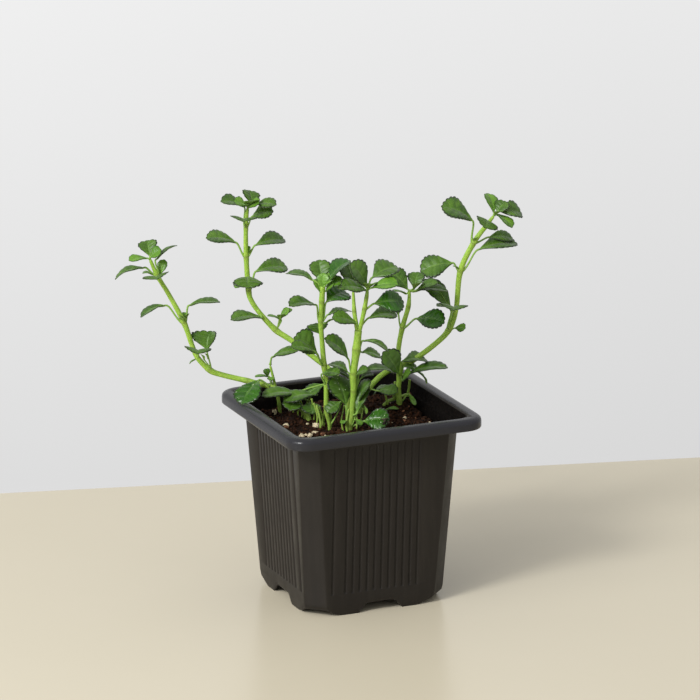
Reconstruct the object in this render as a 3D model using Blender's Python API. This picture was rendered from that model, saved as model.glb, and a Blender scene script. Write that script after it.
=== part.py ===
"""A small potted foliage plant (sold as baby tears): a square fluted nursery pot, its soil and a rooted plant
of seven leafy shoots. Metres, +Z up. The pot stands on Z = 0 and the origin is under the middle of the box
round the whole object, so the pot's own axis is at POT_X, POT_Y."""

import math

import bmesh
import bpy
from mathutils import Matrix, Vector

MM = 0.001

# Where the pot's axis stands, and how far the plant's own axes are turned from the pot's square sides.
POT_X, POT_Y = 4.0 * MM, -6.5 * MM
PLANT_TURN = math.radians(-23)

# Pot: a tapered square shell with chamfered corners, a turned-down rim and eight feet.
# The rim's rings are (half side, corner radius, height) in mm: up from the shoulder, out and down under the
# turned edge, up its outer face, over the top and down inside.
RIM_RINGS = ((44.6, 7.5, 92.8), (46.0, 7.4, 95.4), (49.7, 9.0, 95.4), (50.3, 9.5, 94.6), (50.4, 9.6, 91.0),
             (51.6, 10.8, 91.0), (51.6, 10.8, 95.3), (51.2, 10.6, 96.2), (50.3, 10.2, 96.6), (46.0, 7.2, 96.6),
             (45.0, 6.8, 95.9), (43.4, 7.0, 92.8))
FOOT_HALF = 37.0 * MM
SHOULDER_HALF = 42.5 * MM
SHOULDER_UP = 89 * MM
CHAMFER_FOOT = 8.5 * MM
CHAMFER_SHOULDER = 8.0 * MM
CHAMFER_SHARE = 0.6
WALL = 1.2 * MM
BASE_UNDER = 5.4 * MM
BASE_THICK = 1.4 * MM
# Openings under the walls, as (along, up) in mm: half the arch amid each wall, and the lift towards a corner.
HALF_ARCH = ((12.4, -1.0), (11.6, 0.0), (8.8, 3.4), (7.0, 4.5), (5.2, 4.8))
CORNER_LIFT = ((21.0, -1.0), (21.0, 0.0), (24.6, 0.9), (28.2, 3.2), (48.0, 3.2), (48.0, -1.0))
CUT_NEAR, CUT_FAR = 28.5 * MM, 60 * MM
FLUTE_RADIUS = 0.75 * MM
FLUTE_PITCH = 3.8 * MM
FLUTE_COUNT = 11
FLUTE_FIRST = -19.0 * MM
FLUTE_LONE = -26.0 * MM
FLUTE_LOW, FLUTE_HIGH = 11 * MM, 87.5 * MM
FLUTE_OUT = 0.3 * MM
FLUTE_FADE = 0.35 * MM
DRAIN_RADIUS = 4 * MM
DRAIN_REACH = 20 * MM

# Soil
SOIL_GAP = 0.4 * MM
SOIL_TOP = 85.5 * MM
SOIL_EDGE = 84 * MM
SOIL_EDGE_DROP = 1.0 * MM
SOIL_LUMP = 0.8 * MM
SOIL_TILT = 0.03
SOCKET_GAP = 0.45 * MM
SOCKET_OVER = 6 * MM

# Stems: distance between rings
ROUTE_STEP = 7 * MM

# Leaves: stations along the blade and the half-width there, as shares of its length and half-width.
BLADE_WIDTHS = ((0.10, 0.20), (0.28, 0.56), (0.46, 0.86), (0.60, 1.00), (0.68, 0.92),
                (0.78, 0.93), (0.85, 0.76), (0.93, 0.62), (1.00, 0.16))
BLADE_THICK = 0.45 * MM
BLADE_ARCH = 0.08
BLADE_CUP = 0.10
STALK_RADIUS = 0.52 * MM
STALK_FLARE = 1.15
STALK_BOW = 0.15
STALK_END = 0.5 * MM
SHORT_STALK = 1.6 * MM
LONG_STALK = 3 * MM
LEAF_GAP = 0.35 * MM


def clear_scene():
    for old in list(bpy.data.objects):
        bpy.data.objects.remove(old)


def collection(name, hidden=False):
    made = bpy.data.collections.new(name)
    bpy.context.scene.collection.children.link(made)
    made.hide_render = hidden
    return made


clear_scene()
BODY = collection("potted_baby_tears")
CUTTERS = collection("cutters", hidden=True)


def material(name, colour, roughness, metallic=0.0):
    made = bpy.data.materials.new(name)
    made.use_nodes = True
    shader = made.node_tree.nodes["Principled BSDF"]
    shader.inputs["Base Color"].default_value = (*colour, 1.0)
    shader.inputs["Roughness"].default_value = roughness
    shader.inputs["Metallic"].default_value = metallic
    return made


def add(name, mesh, made_of=None, where=BODY, smooth=True):
    """One object for one sub-part; mesh data is already in the pot's frame and is moved to the pot's place."""
    piece = bpy.data.objects.new(name, mesh)
    where.objects.link(piece)
    piece.location = (POT_X, POT_Y, 0)
    if made_of:
        mesh.materials.append(made_of)
    if where is CUTTERS:
        piece.hide_render = True
        piece.display_type = "WIRE"
    if smooth and where is BODY:
        for face in mesh.polygons:
            face.use_smooth = True
    return piece


def loft(name, rings):
    """A closed mesh through rings of equal point count, with flat ends."""
    built = bmesh.new()
    rows = [[built.verts.new(point) for point in ring] for ring in rings]
    count = len(rings[0])
    for low, high in zip(rows, rows[1:]):
        for i in range(count):
            j = (i + 1) % count
            built.faces.new((low[i], low[j], high[j], high[i]))
    built.faces.new(rows[0][::-1])
    built.faces.new(rows[-1])
    bmesh.ops.recalc_face_normals(built, faces=built.faces)
    mesh = bpy.data.meshes.new(name)
    built.to_mesh(mesh)
    built.free()
    return mesh


def prism(name, profile, low, high, axis):
    """A profile of (along, up) pushed from low to high along the Y axis, or along X."""
    if axis == "Y":
        ends = [[Vector((s, t, z)) for s, z in profile] for t in (low, high)]
    else:
        ends = [[Vector((t, s, z)) for s, z in profile] for t in (low, high)]
    return loft(name, ends)


def joined(name, meshes):
    """Several closed meshes in one, as the cutter of one Boolean."""
    built = bmesh.new()
    for mesh in meshes:
        built.from_mesh(mesh)
    whole = bpy.data.meshes.new(name)
    built.to_mesh(whole)
    built.free()
    return add(name, whole, where=CUTTERS)


def cut(piece, cutter, name):
    step = piece.modifiers.new(name, "BOOLEAN")
    step.operation = "DIFFERENCE"
    step.solver = "EXACT"
    step.object = cutter


def square_ring(half, corner, up, rounded):
    """Sixteen points round a square: four to a corner, on an arc or along a straight chamfer."""
    ring = []
    for quarter in range(4):
        turn = Matrix.Rotation(quarter * math.pi / 2, 3, "Z")
        for i in range(4):
            share = i / 3
            if rounded:
                angle = share * math.pi / 2
                x = half - corner + corner * math.cos(angle)
                y = half - corner + corner * math.sin(angle)
            else:
                x = half - corner * share
                y = half - corner * (1 - share)
            ring.append(turn @ Vector((x, y, up)))
    return ring


def wall_half(up):
    return FOOT_HALF + (SHOULDER_HALF - FOOT_HALF) * up / SHOULDER_UP


def pot_shell():
    base_top = BASE_UNDER + BASE_THICK
    inner_foot = CHAMFER_FOOT - CHAMFER_SHARE * WALL
    inner_shoulder = CHAMFER_SHOULDER - CHAMFER_SHARE * WALL
    rings = [
        square_ring(wall_half(BASE_UNDER) - WALL, inner_foot, BASE_UNDER, False),
        square_ring(FOOT_HALF - WALL, inner_foot, 0, False),
        square_ring(FOOT_HALF, CHAMFER_FOOT, 0, False),
        square_ring(SHOULDER_HALF, CHAMFER_SHOULDER, SHOULDER_UP, False),
    ]
    rings += [square_ring(half * MM, corner * MM, up * MM, True) for half, corner, up in RIM_RINGS]
    rings.append(square_ring(SHOULDER_HALF - WALL, inner_shoulder, SHOULDER_UP - WALL, False))
    rings.append(square_ring(wall_half(base_top) - WALL, inner_foot, base_top, False))
    return loft("pot", rings)


def arch_profile():
    right = [(x * MM, z * MM) for x, z in HALF_ARCH]
    left = [(-x, z) for x, z in reversed(right)]
    return right + left


def corner_profile(side):
    return [(side * x * MM, z * MM) for x, z in CORNER_LIFT]


def flute(along, face):
    """A long hexagonal cutter that lies in one wall, its ends tapered away to nothing."""
    lean = math.atan2(SHOULDER_HALF - FOOT_HALF, SHOULDER_UP)
    rings = []
    stations = ((FLUTE_LOW, 0.35), (FLUTE_LOW + 1.6 * MM, 1.0), (FLUTE_HIGH - 1.2 * MM, 1.0), (FLUTE_HIGH, 0.45))
    for up, share in stations:
        out = wall_half(up) + FLUTE_OUT + (1 - share) * FLUTE_FADE
        ring = []
        for i in range(6):
            angle = i * math.pi / 3
            x = along + FLUTE_RADIUS * share * math.cos(angle)
            y = out + FLUTE_RADIUS * share * math.sin(angle)
            ring.append(Vector((x, y, up - math.tan(lean) * FLUTE_RADIUS * math.sin(angle))))
        rings.append(ring)
    mesh = loft("flute", rings)
    mesh.transform(Matrix.Rotation(face * math.pi / 2, 4, "Z"))
    return mesh


def flutes():
    """The four walls mirror each other about the pot's front and back corners."""
    made = []
    for face in range(4):
        side = 1 if face % 2 else -1
        for i in range(FLUTE_COUNT):
            made.append(flute(side * (FLUTE_FIRST + i * FLUTE_PITCH), face))
        made.append(flute(side * FLUTE_LONE, face))
    return made


def cylinder(radius, low, high, x, y, sides=16):
    rings = []
    for up in (low, high):
        turn = [2 * math.pi * i / sides for i in range(sides)]
        rings.append([Vector((x + radius * math.cos(a), y + radius * math.sin(a), up)) for a in turn])
    return loft("cylinder", rings)


def build_pot():
    black = material("pot_black_plastic", (0.028, 0.027, 0.026), 0.42)
    pot = add("pot", pot_shell(), black, smooth=False)
    for axis in ("X", "Y"):
        arches = [prism("arch", arch_profile(), -CUT_FAR, CUT_FAR, axis)]
        cut(pot, joined("arch_cutter_" + axis, arches), "arches " + axis)
        corners = []
        for side in (-1, 1):
            for low, high in ((-CUT_FAR, -CUT_NEAR), (CUT_NEAR, CUT_FAR)):
                corners.append(prism("corner", corner_profile(side), low, high, axis))
        cut(pot, joined("corner_cutters_" + axis, corners), "corners " + axis)
    cut(pot, joined("flute_cutters", flutes()), "flutes")
    places = [(0, 0)] + [(DRAIN_REACH * sx, DRAIN_REACH * sy) for sx in (-1, 1) for sy in (-1, 1)]
    low, high = BASE_UNDER - BASE_THICK, BASE_UNDER + 2 * BASE_THICK
    drains = [cylinder(DRAIN_RADIUS, low, high, x, y) for x, y in places]
    cut(pot, joined("drain_cutters", drains), "drains")


def plant(across, deep, up):
    """A point of the plant in the pot's frame: across to the right, deep to the back, up from the ground."""
    return Matrix.Rotation(PLANT_TURN, 3, "Z") @ Vector((across * MM, deep * MM, up * MM))


def smooth_route(points):
    """Points on a Catmull-Rom curve through the route, each with its radius."""
    route = []
    last = len(points) - 1
    for i in range(last):
        a, b, c, d = (points[max(0, min(last, k))] for k in (i - 1, i, i + 1, i + 2))
        steps = max(1, round((c[0] - b[0]).length / ROUTE_STEP))
        for k in range(steps):
            t = k / steps
            place = 0.5 * (2 * b[0] + (c[0] - a[0]) * t + (2 * a[0] - 5 * b[0] + 4 * c[0] - d[0]) * t * t
                           + (3 * b[0] - a[0] - 3 * c[0] + d[0]) * t * t * t)
            route.append((place, b[1] + (c[1] - b[1]) * t))
    route.append(points[-1])
    return route


def tube_mesh(name, route, extra=0.0):
    """A capped tube round a route of (point, radius), as a beveled curve turned to a mesh."""
    curve = bpy.data.curves.new(name, "CURVE")
    curve.dimensions = "3D"
    curve.bevel_depth = 1.0
    curve.bevel_resolution = 2
    curve.use_fill_caps = True
    line = curve.splines.new("POLY")
    line.points.add(len(route) - 1)
    for point, (place, radius) in zip(line.points, route):
        point.co = (*place, 1.0)
        point.radius = radius + extra
    holder = bpy.data.objects.new(name, curve)
    bpy.context.scene.collection.objects.link(holder)
    graph = bpy.context.evaluated_depsgraph_get()
    mesh = bpy.data.meshes.new_from_object(holder.evaluated_get(graph))
    bpy.data.objects.remove(holder)
    built = bmesh.new()
    built.from_mesh(mesh)
    bmesh.ops.remove_doubles(built, verts=built.verts, dist=0.00001)
    built.to_mesh(mesh)
    built.free()
    mesh.materials.clear()
    return mesh


# Stems: (across, deep, up, thickness) in mm. The first point is the root end, in its socket in the soil.
STEMS = {
    "left": [(-20, 6, 79, 2.6), (-21, 7, 87, 2.6), (-24, 8, 91, 2.5), (-30, 11, 97, 2.5), (-40, 14, 101, 2.5),
             (-51, 16, 103.5, 2.5), (-64, 17, 106.5, 2.5), (-70, 17, 109, 2.7), (-76, 17, 115.5, 2.4),
             (-78.5, 17, 121.5, 2.3), (-82.5, 17, 133.5, 2.5), (-90, 18, 148, 2.1), (-95.5, 18, 157.5, 2.1),
             (-99, 18, 166, 1.3)],
    "back_left": [(-1, 9, 79, 2.6), (-1, 10, 91, 2.6), (-2, 12, 99.5, 2.5), (-8, 16, 107, 2.5),
                  (-16.5, 19, 113.5, 2.5), (-29, 22, 122.5, 2.5), (-37, 24, 127.5, 2.7), (-44.5, 25, 135.5, 2.3),
                  (-49, 26, 142, 2.3), (-50.5, 27, 147.5, 2.5), (-51.5, 27, 164.5, 2.3), (-51.5, 27, 180, 2.0),
                  (-50.5, 26, 190, 1.3)],
    "front": [(-10.5, -6, 79, 1.5), (-10.5, -6, 87, 1.6), (-12, -6, 95, 2.0), (-12, -5, 108, 2.3),
              (-13, -5, 117.5, 2.5), (-14, -4, 130.5, 2.2), (-14.5, -4, 139.5, 2.3), (-14, -4, 149.5, 2.4),
              (-13.5, -4, 158, 2.7)],
    "centre": [(-0.5, -8, 79, 2.6), (-0.5, -8, 87, 2.9), (0.5, -8, 93, 2.6), (1.5, -8, 105, 2.6),
               (1.5, -8, 114, 3.0), (3, -7, 126, 3.7), (4, -7, 136.5, 3.0)],
    "centre_left": [(2.8, -6.2, 139.6, 1.9), (2, -5, 145, 1.8), (1.5, -3, 155, 1.2)],
    "centre_right": [(5.4, -7.6, 139.6, 1.9), (7, -8, 147, 1.9), (8, -8, 153, 1.7), (8.5, -8, 157, 1.2)],
    "right": [(24.5, 24, 79, 2.4), (24.5, 24, 90, 2.4), (24, 24, 97, 2.4), (24.5, 24, 104, 2.4),
              (24, 24, 116.5, 2.2), (26, 24, 128.5, 2.3), (29, 24, 139.5, 2.0), (29.5, 24, 147.5, 1.3)],
    "tall": [(4.5, 18, 79, 2.7), (4.5, 18.5, 87, 2.7), (5.5, 20, 92, 2.6), (9.5, 22, 98, 2.6),
             (17.5, 25, 105, 2.6), (30.5, 28, 110, 2.6), (43, 31, 118.5, 2.6), (49.5, 32, 125.5, 2.8),
             (53, 33, 136, 2.4), (55, 33, 155, 2.6), (61.5, 33, 169.5, 2.5), (68, 32, 179, 2.0),
             (71.5, 31, 184, 1.3)],
    "sprout": [(-35, 20, 79, 1.6), (-35.5, 21, 89, 1.6), (-37, 22, 97, 1.5), (-40, 22, 110, 1.0)],
}

# Leaves: shoot and the number of its point that they grow from, petiole and blade as (across, deep, up) in mm,
# blade width in mm, roll of the blade about its own midrib in degrees, and how far the tip droops in mm.
LEAVES = {
    "left_1": ("left", 7, (-1.2, 0, 10.4), (1.5, 4, 8.6), 15, -10, 1),
    "left_2": ("left", 8, (0.5, -3.5, 4), (0, -12, 3.5), 13, -3, 1),
    "left_3": ("left", 10, (-9.2, 0, 8.9), (-12.5, -3, -3.5), 8.5, 0, 2),
    "left_4": ("left", 10, (2.8, 0, 8.9), (15, 3, 0.8), 9.5, 0, 0.3),
    "left_5": ("left", 12, (-6.2, 0, 4.1), (-15, -1, -3.6), 10, 0, 2),
    "left_6": ("left", 12, (-0.5, 0, 8.2), (10.3, 3, 6.4), 7.5, -12, 0),
    "left_7": ("left", 13, (0, 0.5, 1.5), (-1.5, 6, 6.2), 9.5, -15, 0),
    "left_8": ("left", 4, (-5.5, -3, 4.3), (-8.2, -13, -8.1), 14.5, 0, 0.5),
    "back_left_1": ("back_left", 7, (0.5, -3, -1), (-15, -4, 1), 12, -10, 1),
    "back_left_2": ("back_left", 9, (0, -4, 7.6), (0, -13, -1.2), 14.5, 0, 0.8),
    "back_left_3": ("back_left", 9, (4, 0, 9.6), (15, 6, 1.2), 13, 20, 1),
    "back_left_4": ("back_left", 10, (-5.2, 0, 7.4), (-14.2, -2, 3.6), 13, -14, 1),
    "back_left_5": ("back_left", 10, (4.7, 0, 6), (14.4, 4, 2.4), 13, 18, 1),
    "back_left_6": ("back_left", 11, (-1, -4, 4), (0, -12, 3.5), 13, -6, 1),
    "back_left_7": ("back_left", 11, (-1.2, 0, 10.4), (-10.5, -3, 4.2), 10.5, -16, 1),
    "back_left_8": ("back_left", 12, (2, 1, 1.5), (-1.5, 6, 5.5), 10, 20, 0),
    "back_left_9": ("back_left", 11, (3.2, 0, 5.2), (9.8, -2, 3.8), 12, 30, 1),
    "front_1": ("front", 4, (-3.6, -1, 6.5), (-10, -4, 9.5), 14.5, -48, 1),
    "front_2": ("front", 6, (-2.5, 0, 8.7), (-12.5, -6, 2.3), 12, -12, 1),
    "front_3": ("front", 6, (3, 1, 10), (9, 8, 4), 14, 25, 1.5),
    "front_4": ("front", 8, (-4.8, 0, 2.7), (-12.8, 5, 3.2), 11, 0, 1.5),
    "front_5": ("front", 8, (-0.2, 2.8, 1), (-1.8, 6, 9.5), 10.5, -12, 0),
    "front_6": ("front", 8, (2.2, -1, 1.5), (10.5, 3, 11.2), 15, 5, 1),
    "centre_1": ("centre", 4, (-2.7, -1, 8), (-10, -3, 12), 12.5, -35, 2),
    "centre_2": ("centre", 6, (-1.2, -1, 3.4), (-11, -4, 4.6), 10, -30, 1),
    "centre_3": ("centre", 5, (3.2, 0, 4.6), (12.5, -3, -0.6), 6.8, 4, 4),
    "centre_4": ("centre", 3, (3.8, 2, 9.7), (16, 5, -0.2), 11, 0, 2),
    "centre_5": ("centre", 6, (5.5, 2, 5.3), (13.2, 3, 1.6), 13, 12, 1),
    "centre_left_1": ("centre_left", 2, (-0.6, 1, 2), (-3.5, 5, 10), 11, 0, 0),
    "centre_right_1": ("centre_right", 3, (-0.5, -0.5, 1.5), (-7, -4, 13), 13, -60, 1),
    "centre_right_2": ("centre_right", 2, (0, -1, 3.6), (-11.8, -6, 4.4), 13, -20, 1),
    "centre_right_3": ("centre_right", 3, (2.2, 1, 5.6), (12, 6, 4.9), 15, 20, 1),
    "centre_right_4": ("centre_right", 1, (4.8, 1, 2.5), (14.5, 4, 0.4), 13.5, 38, 1),
    "centre_right_5": ("centre_right", 3, (2, -2, 1.3), (12.5, -4, 3.5), 11, 20, 1),
    "right_1": ("right", 3, (-0.4, -2.2, 1.6), (-6.6, -3.5, 11.7), 12.5, -75, 1.5),
    "right_2": ("right", 3, (4, -1, 0.6), (19.5, -2, 5.4), 12, 5, 1.5),
    "right_3": ("right", 5, (7, -4, 5.8), (13, -7, 1), 13, 30, 1.5),
    "right_4": ("right", 7, (2.5, 1, 1), (2, 6, 6.8), 9, 0, 0),
    "tall_1": ("tall", 7, (0.7, -1, 10.3), (-11, 2, 16), 9.5, -45, 5),
    "tall_2": ("tall", 7, (1.7, -5.4, 12.2), (0, -13, 3.5), 14, -6, 1),
    "tall_3": ("tall", 9, (-3.8, 0, 4.4), (-16, -2, -3), 15, -32, 1.5),
    "tall_4": ("tall", 9, (9.2, 0, 11.3), (19, 5, 2.0), 15, 14, 0.4),
    "tall_5": ("tall", 10, (-0.8, 0, 11.9), (-14.5, -2, 8.3), 16, -25, 1),
    "tall_6": ("tall", 10, (7.8, 3, 2.3), (12, 4, -1), 8.5, 28, 1),
    "tall_7": ("tall", 12, (0, 1, 1.5), (-3, 7, 8), 8, 20, 0),
    "tall_8": ("tall", 12, (2.5, 0, 2.5), (11.8, 4, -1.5), 12, 28, 1),
    "sprout_1": ("sprout", 3, (1.2, -1, 4.4), (12.2, -4.5, 5.0), 10, 12, 1),
    "low_1": ("centre", 1, (-1.8, 1, 10.5), (-5, 6, 13.7), 15, 0, 1),
    "low_2": ("centre", 1, (7, -1, 2.8), (12, -4, 2.8), 13, 40, 1),
}


def stem_route(shoot):
    points = [(plant(x, y, z), thick * MM / 2) for x, y, z, thick in STEMS[shoot]]
    return smooth_route(points)


def leaf_frame(blade, roll):
    """Unit vectors along the blade, across it and out of its upper face."""
    along = blade.normalized()
    face = Vector((0, 0, 1)) - along * along.z
    if face.length < 0.2:
        face = plant(0, -1, 0).normalized()
        face = face - along * face.dot(along)
    face.normalize()
    side = face.cross(along)
    turn = Matrix.Rotation(math.radians(roll), 3, along)
    return along, turn @ side, turn @ face


def section(centre, side, face, half, thick, cup):
    """Six points round a flat section: edge, two on top, edge, two underneath; cup lifts the edges."""
    lift = face * (cup * half)
    return [
        centre - side * half + lift,
        centre - side * half * 0.45 + face * thick,
        centre + side * half * 0.45 + face * thick,
        centre + side * half + lift,
        centre + side * half * 0.45 - face * thick,
        centre - side * half * 0.45 - face * thick,
    ]


def turned(along, side, face, heading):
    """The blade's side and face, turned with the least twist so that they stand square to another heading."""
    turn = along.rotation_difference(heading)
    return turn @ side, turn @ face


def stalk_rings(shoot, point, reach, joint, along, side, face):
    """Rings of the leaf stalk: it leaves the stem squarely, bends, and comes to the blade's base at joint."""
    places = [plant(x, y, z) for x, y, z, thick in STEMS[shoot]]
    radius = STEMS[shoot][point][3] * MM / 2
    node = places[point]
    stem_way = (places[min(point + 1, len(places) - 1)] - places[point - 1]).normalized()
    outward = reach - stem_way * reach.dot(stem_way)
    at_tip = point == len(places) - 1
    heading = reach.normalized() if at_tip else outward.normalized()
    start = node + heading * (radius + LEAF_GAP)
    free = (joint - start).length
    if free < SHORT_STALK:
        across, out = turned(along, side, face, (heading + 2 * along).normalized())
        return [section(start, across, out, STALK_RADIUS, STALK_RADIUS * 0.8, 0)]
    bend = start.lerp(joint, 0.4) + heading * (STALK_BOW * free)
    last = 1 - STALK_END / free
    rings = []
    for share in (0.0, 0.5, last) if free > LONG_STALK else (0.0, last):
        centre = start.lerp(bend, share).lerp(bend.lerp(joint, share), share)
        tangent = heading if share == 0 else (bend.lerp(joint, share) - start.lerp(bend, share)).normalized()
        if share > 0.6:
            tangent = (tangent + along).normalized()
        across, out = turned(along, side, face, tangent)
        thick = STALK_RADIUS * (STALK_FLARE if share == 0 else 1.0)
        rings.append(section(centre, across, out, thick, thick * 0.8, 0))
    return rings


def leaf_mesh(name, spec):
    shoot, point, petiole, blade, width, roll, droop = spec
    x, y, z, thick = STEMS[shoot][point]
    reach = plant(*petiole)
    joint = plant(x, y, z) + reach
    run = plant(*blade)
    along, side, face = leaf_frame(run, roll)
    rings = stalk_rings(shoot, point, reach, joint, along, side, face)
    for share, half in BLADE_WIDTHS:
        sag = droop * MM * share * share
        arch = BLADE_ARCH * run.length * 4 * share * (1 - share)
        centre = joint + run * share + face * (arch - sag)
        rings.append(section(centre, side, face, half * width * MM / 2, BLADE_THICK / 2, BLADE_CUP))
    return loft(name, rings)


def build_plant():
    green = material("leaf_green", (0.060, 0.170, 0.040), 0.38)
    fresh = material("leaf_young", (0.120, 0.320, 0.050), 0.38)
    stalk = material("stem_green", (0.330, 0.480, 0.110), 0.45)
    tips = ("left_7", "back_left_8", "front_5", "centre_left_1", "centre_right_5", "right_4", "tall_7")
    for shoot in STEMS:
        add("stem_" + shoot, tube_mesh("stem", stem_route(shoot)), stalk)
    for name, spec in LEAVES.items():
        made_of = fresh if name in tips else green
        add("leaf_" + name, leaf_mesh("leaf", spec), made_of)


def soil_up(x, y):
    """Height of the soil at a place in the pot: a little mounded towards the back right, and uneven."""
    lumps = math.sin(x / (6 * MM)) * math.cos(y / (7.5 * MM)) + 0.6 * math.sin((x + 2 * y) / (11 * MM))
    return SOIL_TOP + SOIL_LUMP * lumps + SOIL_TILT * y


def build_soil():
    earth = material("soil_brown", (0.040, 0.024, 0.015), 0.95)
    floor = BASE_UNDER + BASE_THICK + SOIL_GAP
    inset = WALL + SOIL_GAP
    rings = [square_ring(wall_half(floor) - inset, CHAMFER_FOOT - CHAMFER_SHARE * inset, floor, False)]
    edge_corner = CHAMFER_SHOULDER - CHAMFER_SHARE * inset
    edge = square_ring(wall_half(SOIL_EDGE) - inset, edge_corner, SOIL_EDGE, False)
    rings.append([Vector((p.x, p.y, soil_up(p.x, p.y) - SOIL_EDGE_DROP)) for p in edge])
    for share in (0.85, 0.62, 0.38, 0.15):
        rings.append([Vector((p.x * share, p.y * share, soil_up(p.x * share, p.y * share))) for p in edge])
    soil = add("soil", loft("soil", rings), earth)
    sockets = []
    for points in STEMS.values():
        route = [(plant(x, y, z), thick * MM / 2) for x, y, z, thick in points[:2]]
        low, high = route[0][0], route[1][0]
        if low.z > SOIL_TOP:
            continue
        step = (high - low).normalized()
        ends = [(low - step * SOCKET_GAP, route[0][1]), (high + step * SOCKET_OVER, route[1][1])]
        sockets.append(tube_mesh("socket", ends, extra=SOCKET_GAP))
    cut(soil, joined("socket_cutters", sockets), "sockets")


build_pot()
build_plant()
build_soil()
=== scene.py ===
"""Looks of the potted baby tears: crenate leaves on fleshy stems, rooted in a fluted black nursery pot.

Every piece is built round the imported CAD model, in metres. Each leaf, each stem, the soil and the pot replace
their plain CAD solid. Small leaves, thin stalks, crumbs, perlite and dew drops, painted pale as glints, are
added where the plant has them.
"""
import math
import random

import bmesh
import bpy
import numpy as np
from mathutils import Matrix, Vector, noise


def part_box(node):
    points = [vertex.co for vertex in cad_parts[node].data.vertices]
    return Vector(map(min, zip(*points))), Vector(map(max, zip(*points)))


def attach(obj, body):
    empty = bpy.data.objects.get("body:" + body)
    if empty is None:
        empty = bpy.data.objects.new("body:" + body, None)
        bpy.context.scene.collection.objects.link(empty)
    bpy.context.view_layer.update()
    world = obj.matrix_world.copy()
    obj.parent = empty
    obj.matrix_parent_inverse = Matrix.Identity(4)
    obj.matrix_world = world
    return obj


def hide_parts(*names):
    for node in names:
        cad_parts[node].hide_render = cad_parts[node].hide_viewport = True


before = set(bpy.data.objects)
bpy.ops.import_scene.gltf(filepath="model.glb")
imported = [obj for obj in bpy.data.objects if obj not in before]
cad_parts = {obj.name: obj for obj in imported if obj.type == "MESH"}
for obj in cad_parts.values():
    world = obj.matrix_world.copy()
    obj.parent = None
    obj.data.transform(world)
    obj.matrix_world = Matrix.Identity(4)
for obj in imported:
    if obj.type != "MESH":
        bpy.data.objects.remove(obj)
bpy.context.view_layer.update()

MM = 0.001

# The plant's own axes are turned from the pot's square sides, and stand on the pot's axis.
pot_low, pot_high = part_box("pot")
POT_AXIS = Vector(((pot_low.x + pot_high.x) / 2, (pot_low.y + pot_high.y) / 2, 0))
PLANT_TURN = math.radians(-23)

# Camera: a long lens, low on the left of the pot's front corner.
CAMERA_AZIMUTH = math.radians(-23.13)
CAMERA_ELEVATION = math.radians(15.85)
CAMERA_ROLL = math.radians(-0.18)
CAMERA_DISTANCE = 2.4743
CAMERA_TARGET = POT_AXIS + Vector((2.3, 5.8, 122.1)) * MM
CAMERA_LENS = 257.1

# Table top: it ends behind the pot, along a line turned a little from the pot's back side.
TABLE_BEHIND = 188 * MM
TABLE_HALF, TABLE_DEEP, TABLE_THICK = 4.0, 7.0, 30 * MM
TABLE_TURN = math.radians(-13.9)


def srgb(red, green, blue):
    """A colour of 0 to 255 screen values as the linear one that a shader takes."""
    linear = []
    for value in (red, green, blue):
        share = value / 255
        linear.append(share / 12.92 if share <= 0.04045 else ((share + 0.055) / 1.055) ** 2.4)
    return (*linear, 1.0)


def plant(across, deep, up):
    """A point of the plant in the frame: across to the right, deep to the back and up, in mm."""
    return POT_AXIS + turned_way(across, deep, up)


def turned_way(across, deep, up):
    """A step in the plant's axes, in mm, as a step in the frame."""
    return Matrix.Rotation(PLANT_TURN, 3, "Z") @ Vector((across, deep, up)) * MM


def linked(name, data):
    """A new object of the scene."""
    made = bpy.data.objects.new(name, data)
    bpy.context.scene.collection.objects.link(made)
    return made


def way_to(azimuth, elevation):
    """The unit vector from the subject to a camera or lamp."""
    flat = math.cos(elevation)
    return Vector((math.sin(azimuth) * flat, -math.cos(azimuth) * flat, math.sin(elevation)))


def in_frame(rows):
    """Points of the pot, in mm from the foot of its axis, in the frame."""
    return [Vector(row) * MM + POT_AXIS for row in rows]


def quads(rows, count):
    """Faces between rows of count points each, every row closed into a ring."""
    faces = []
    for row in range(rows - 1):
        for k in range(count):
            a, b = row * count + k, row * count + (k + 1) % count
            faces.append((a, b, b + count, a + count))
    return faces


def caps(rows, count):
    """The two end faces of such a tube of rings."""
    last = (rows - 1) * count
    return [tuple(range(count))[::-1], tuple(last + k for k in range(count))]


# The pot, in mm: half widths, chamfers, wall, base, flutes, drain holes and the arches of its foot.
FOOT_HALF, SHOULDER_HALF, SHOULDER_UP = 37.0, 42.5, 89.0
CHAMFER_FOOT, CHAMFER_SHOULDER, CHAMFER_SHARE = 8.5, 8.0, 0.6
WALL, BASE_UNDER, BASE_THICK = 1.2, 5.4, 1.4
# The rim's smoother finish and its lighter, bluer colour, partly painted reflection, set in between these
# distances from the axis.
RIM_FROM, RIM_FULL = 45.2 * MM, 46.2 * MM
FLUTES = [-26.0] + [-19.0 + 3.8 * i for i in range(11)]
FLUTE_HALF, FLUTE_DEPTH = 0.72, 0.62
FLUTE_LOW, FLUTE_HIGH = 11.0, 87.5
DRAIN_RADIUS, DRAIN_REACH = 4.0, 20.0
# The opening under each wall, as (along, up): flat foot, lift at the corner, and the arch in the middle.
ARCH = ((0, 4.8), (5.2, 4.8), (7.0, 4.5), (8.8, 3.4), (11.6, 0.0),
        (21.0, 0.0), (24.6, 0.9), (28.2, 3.2), (60, 3.2))


# ---------------------------------------------------------------- materials

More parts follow.
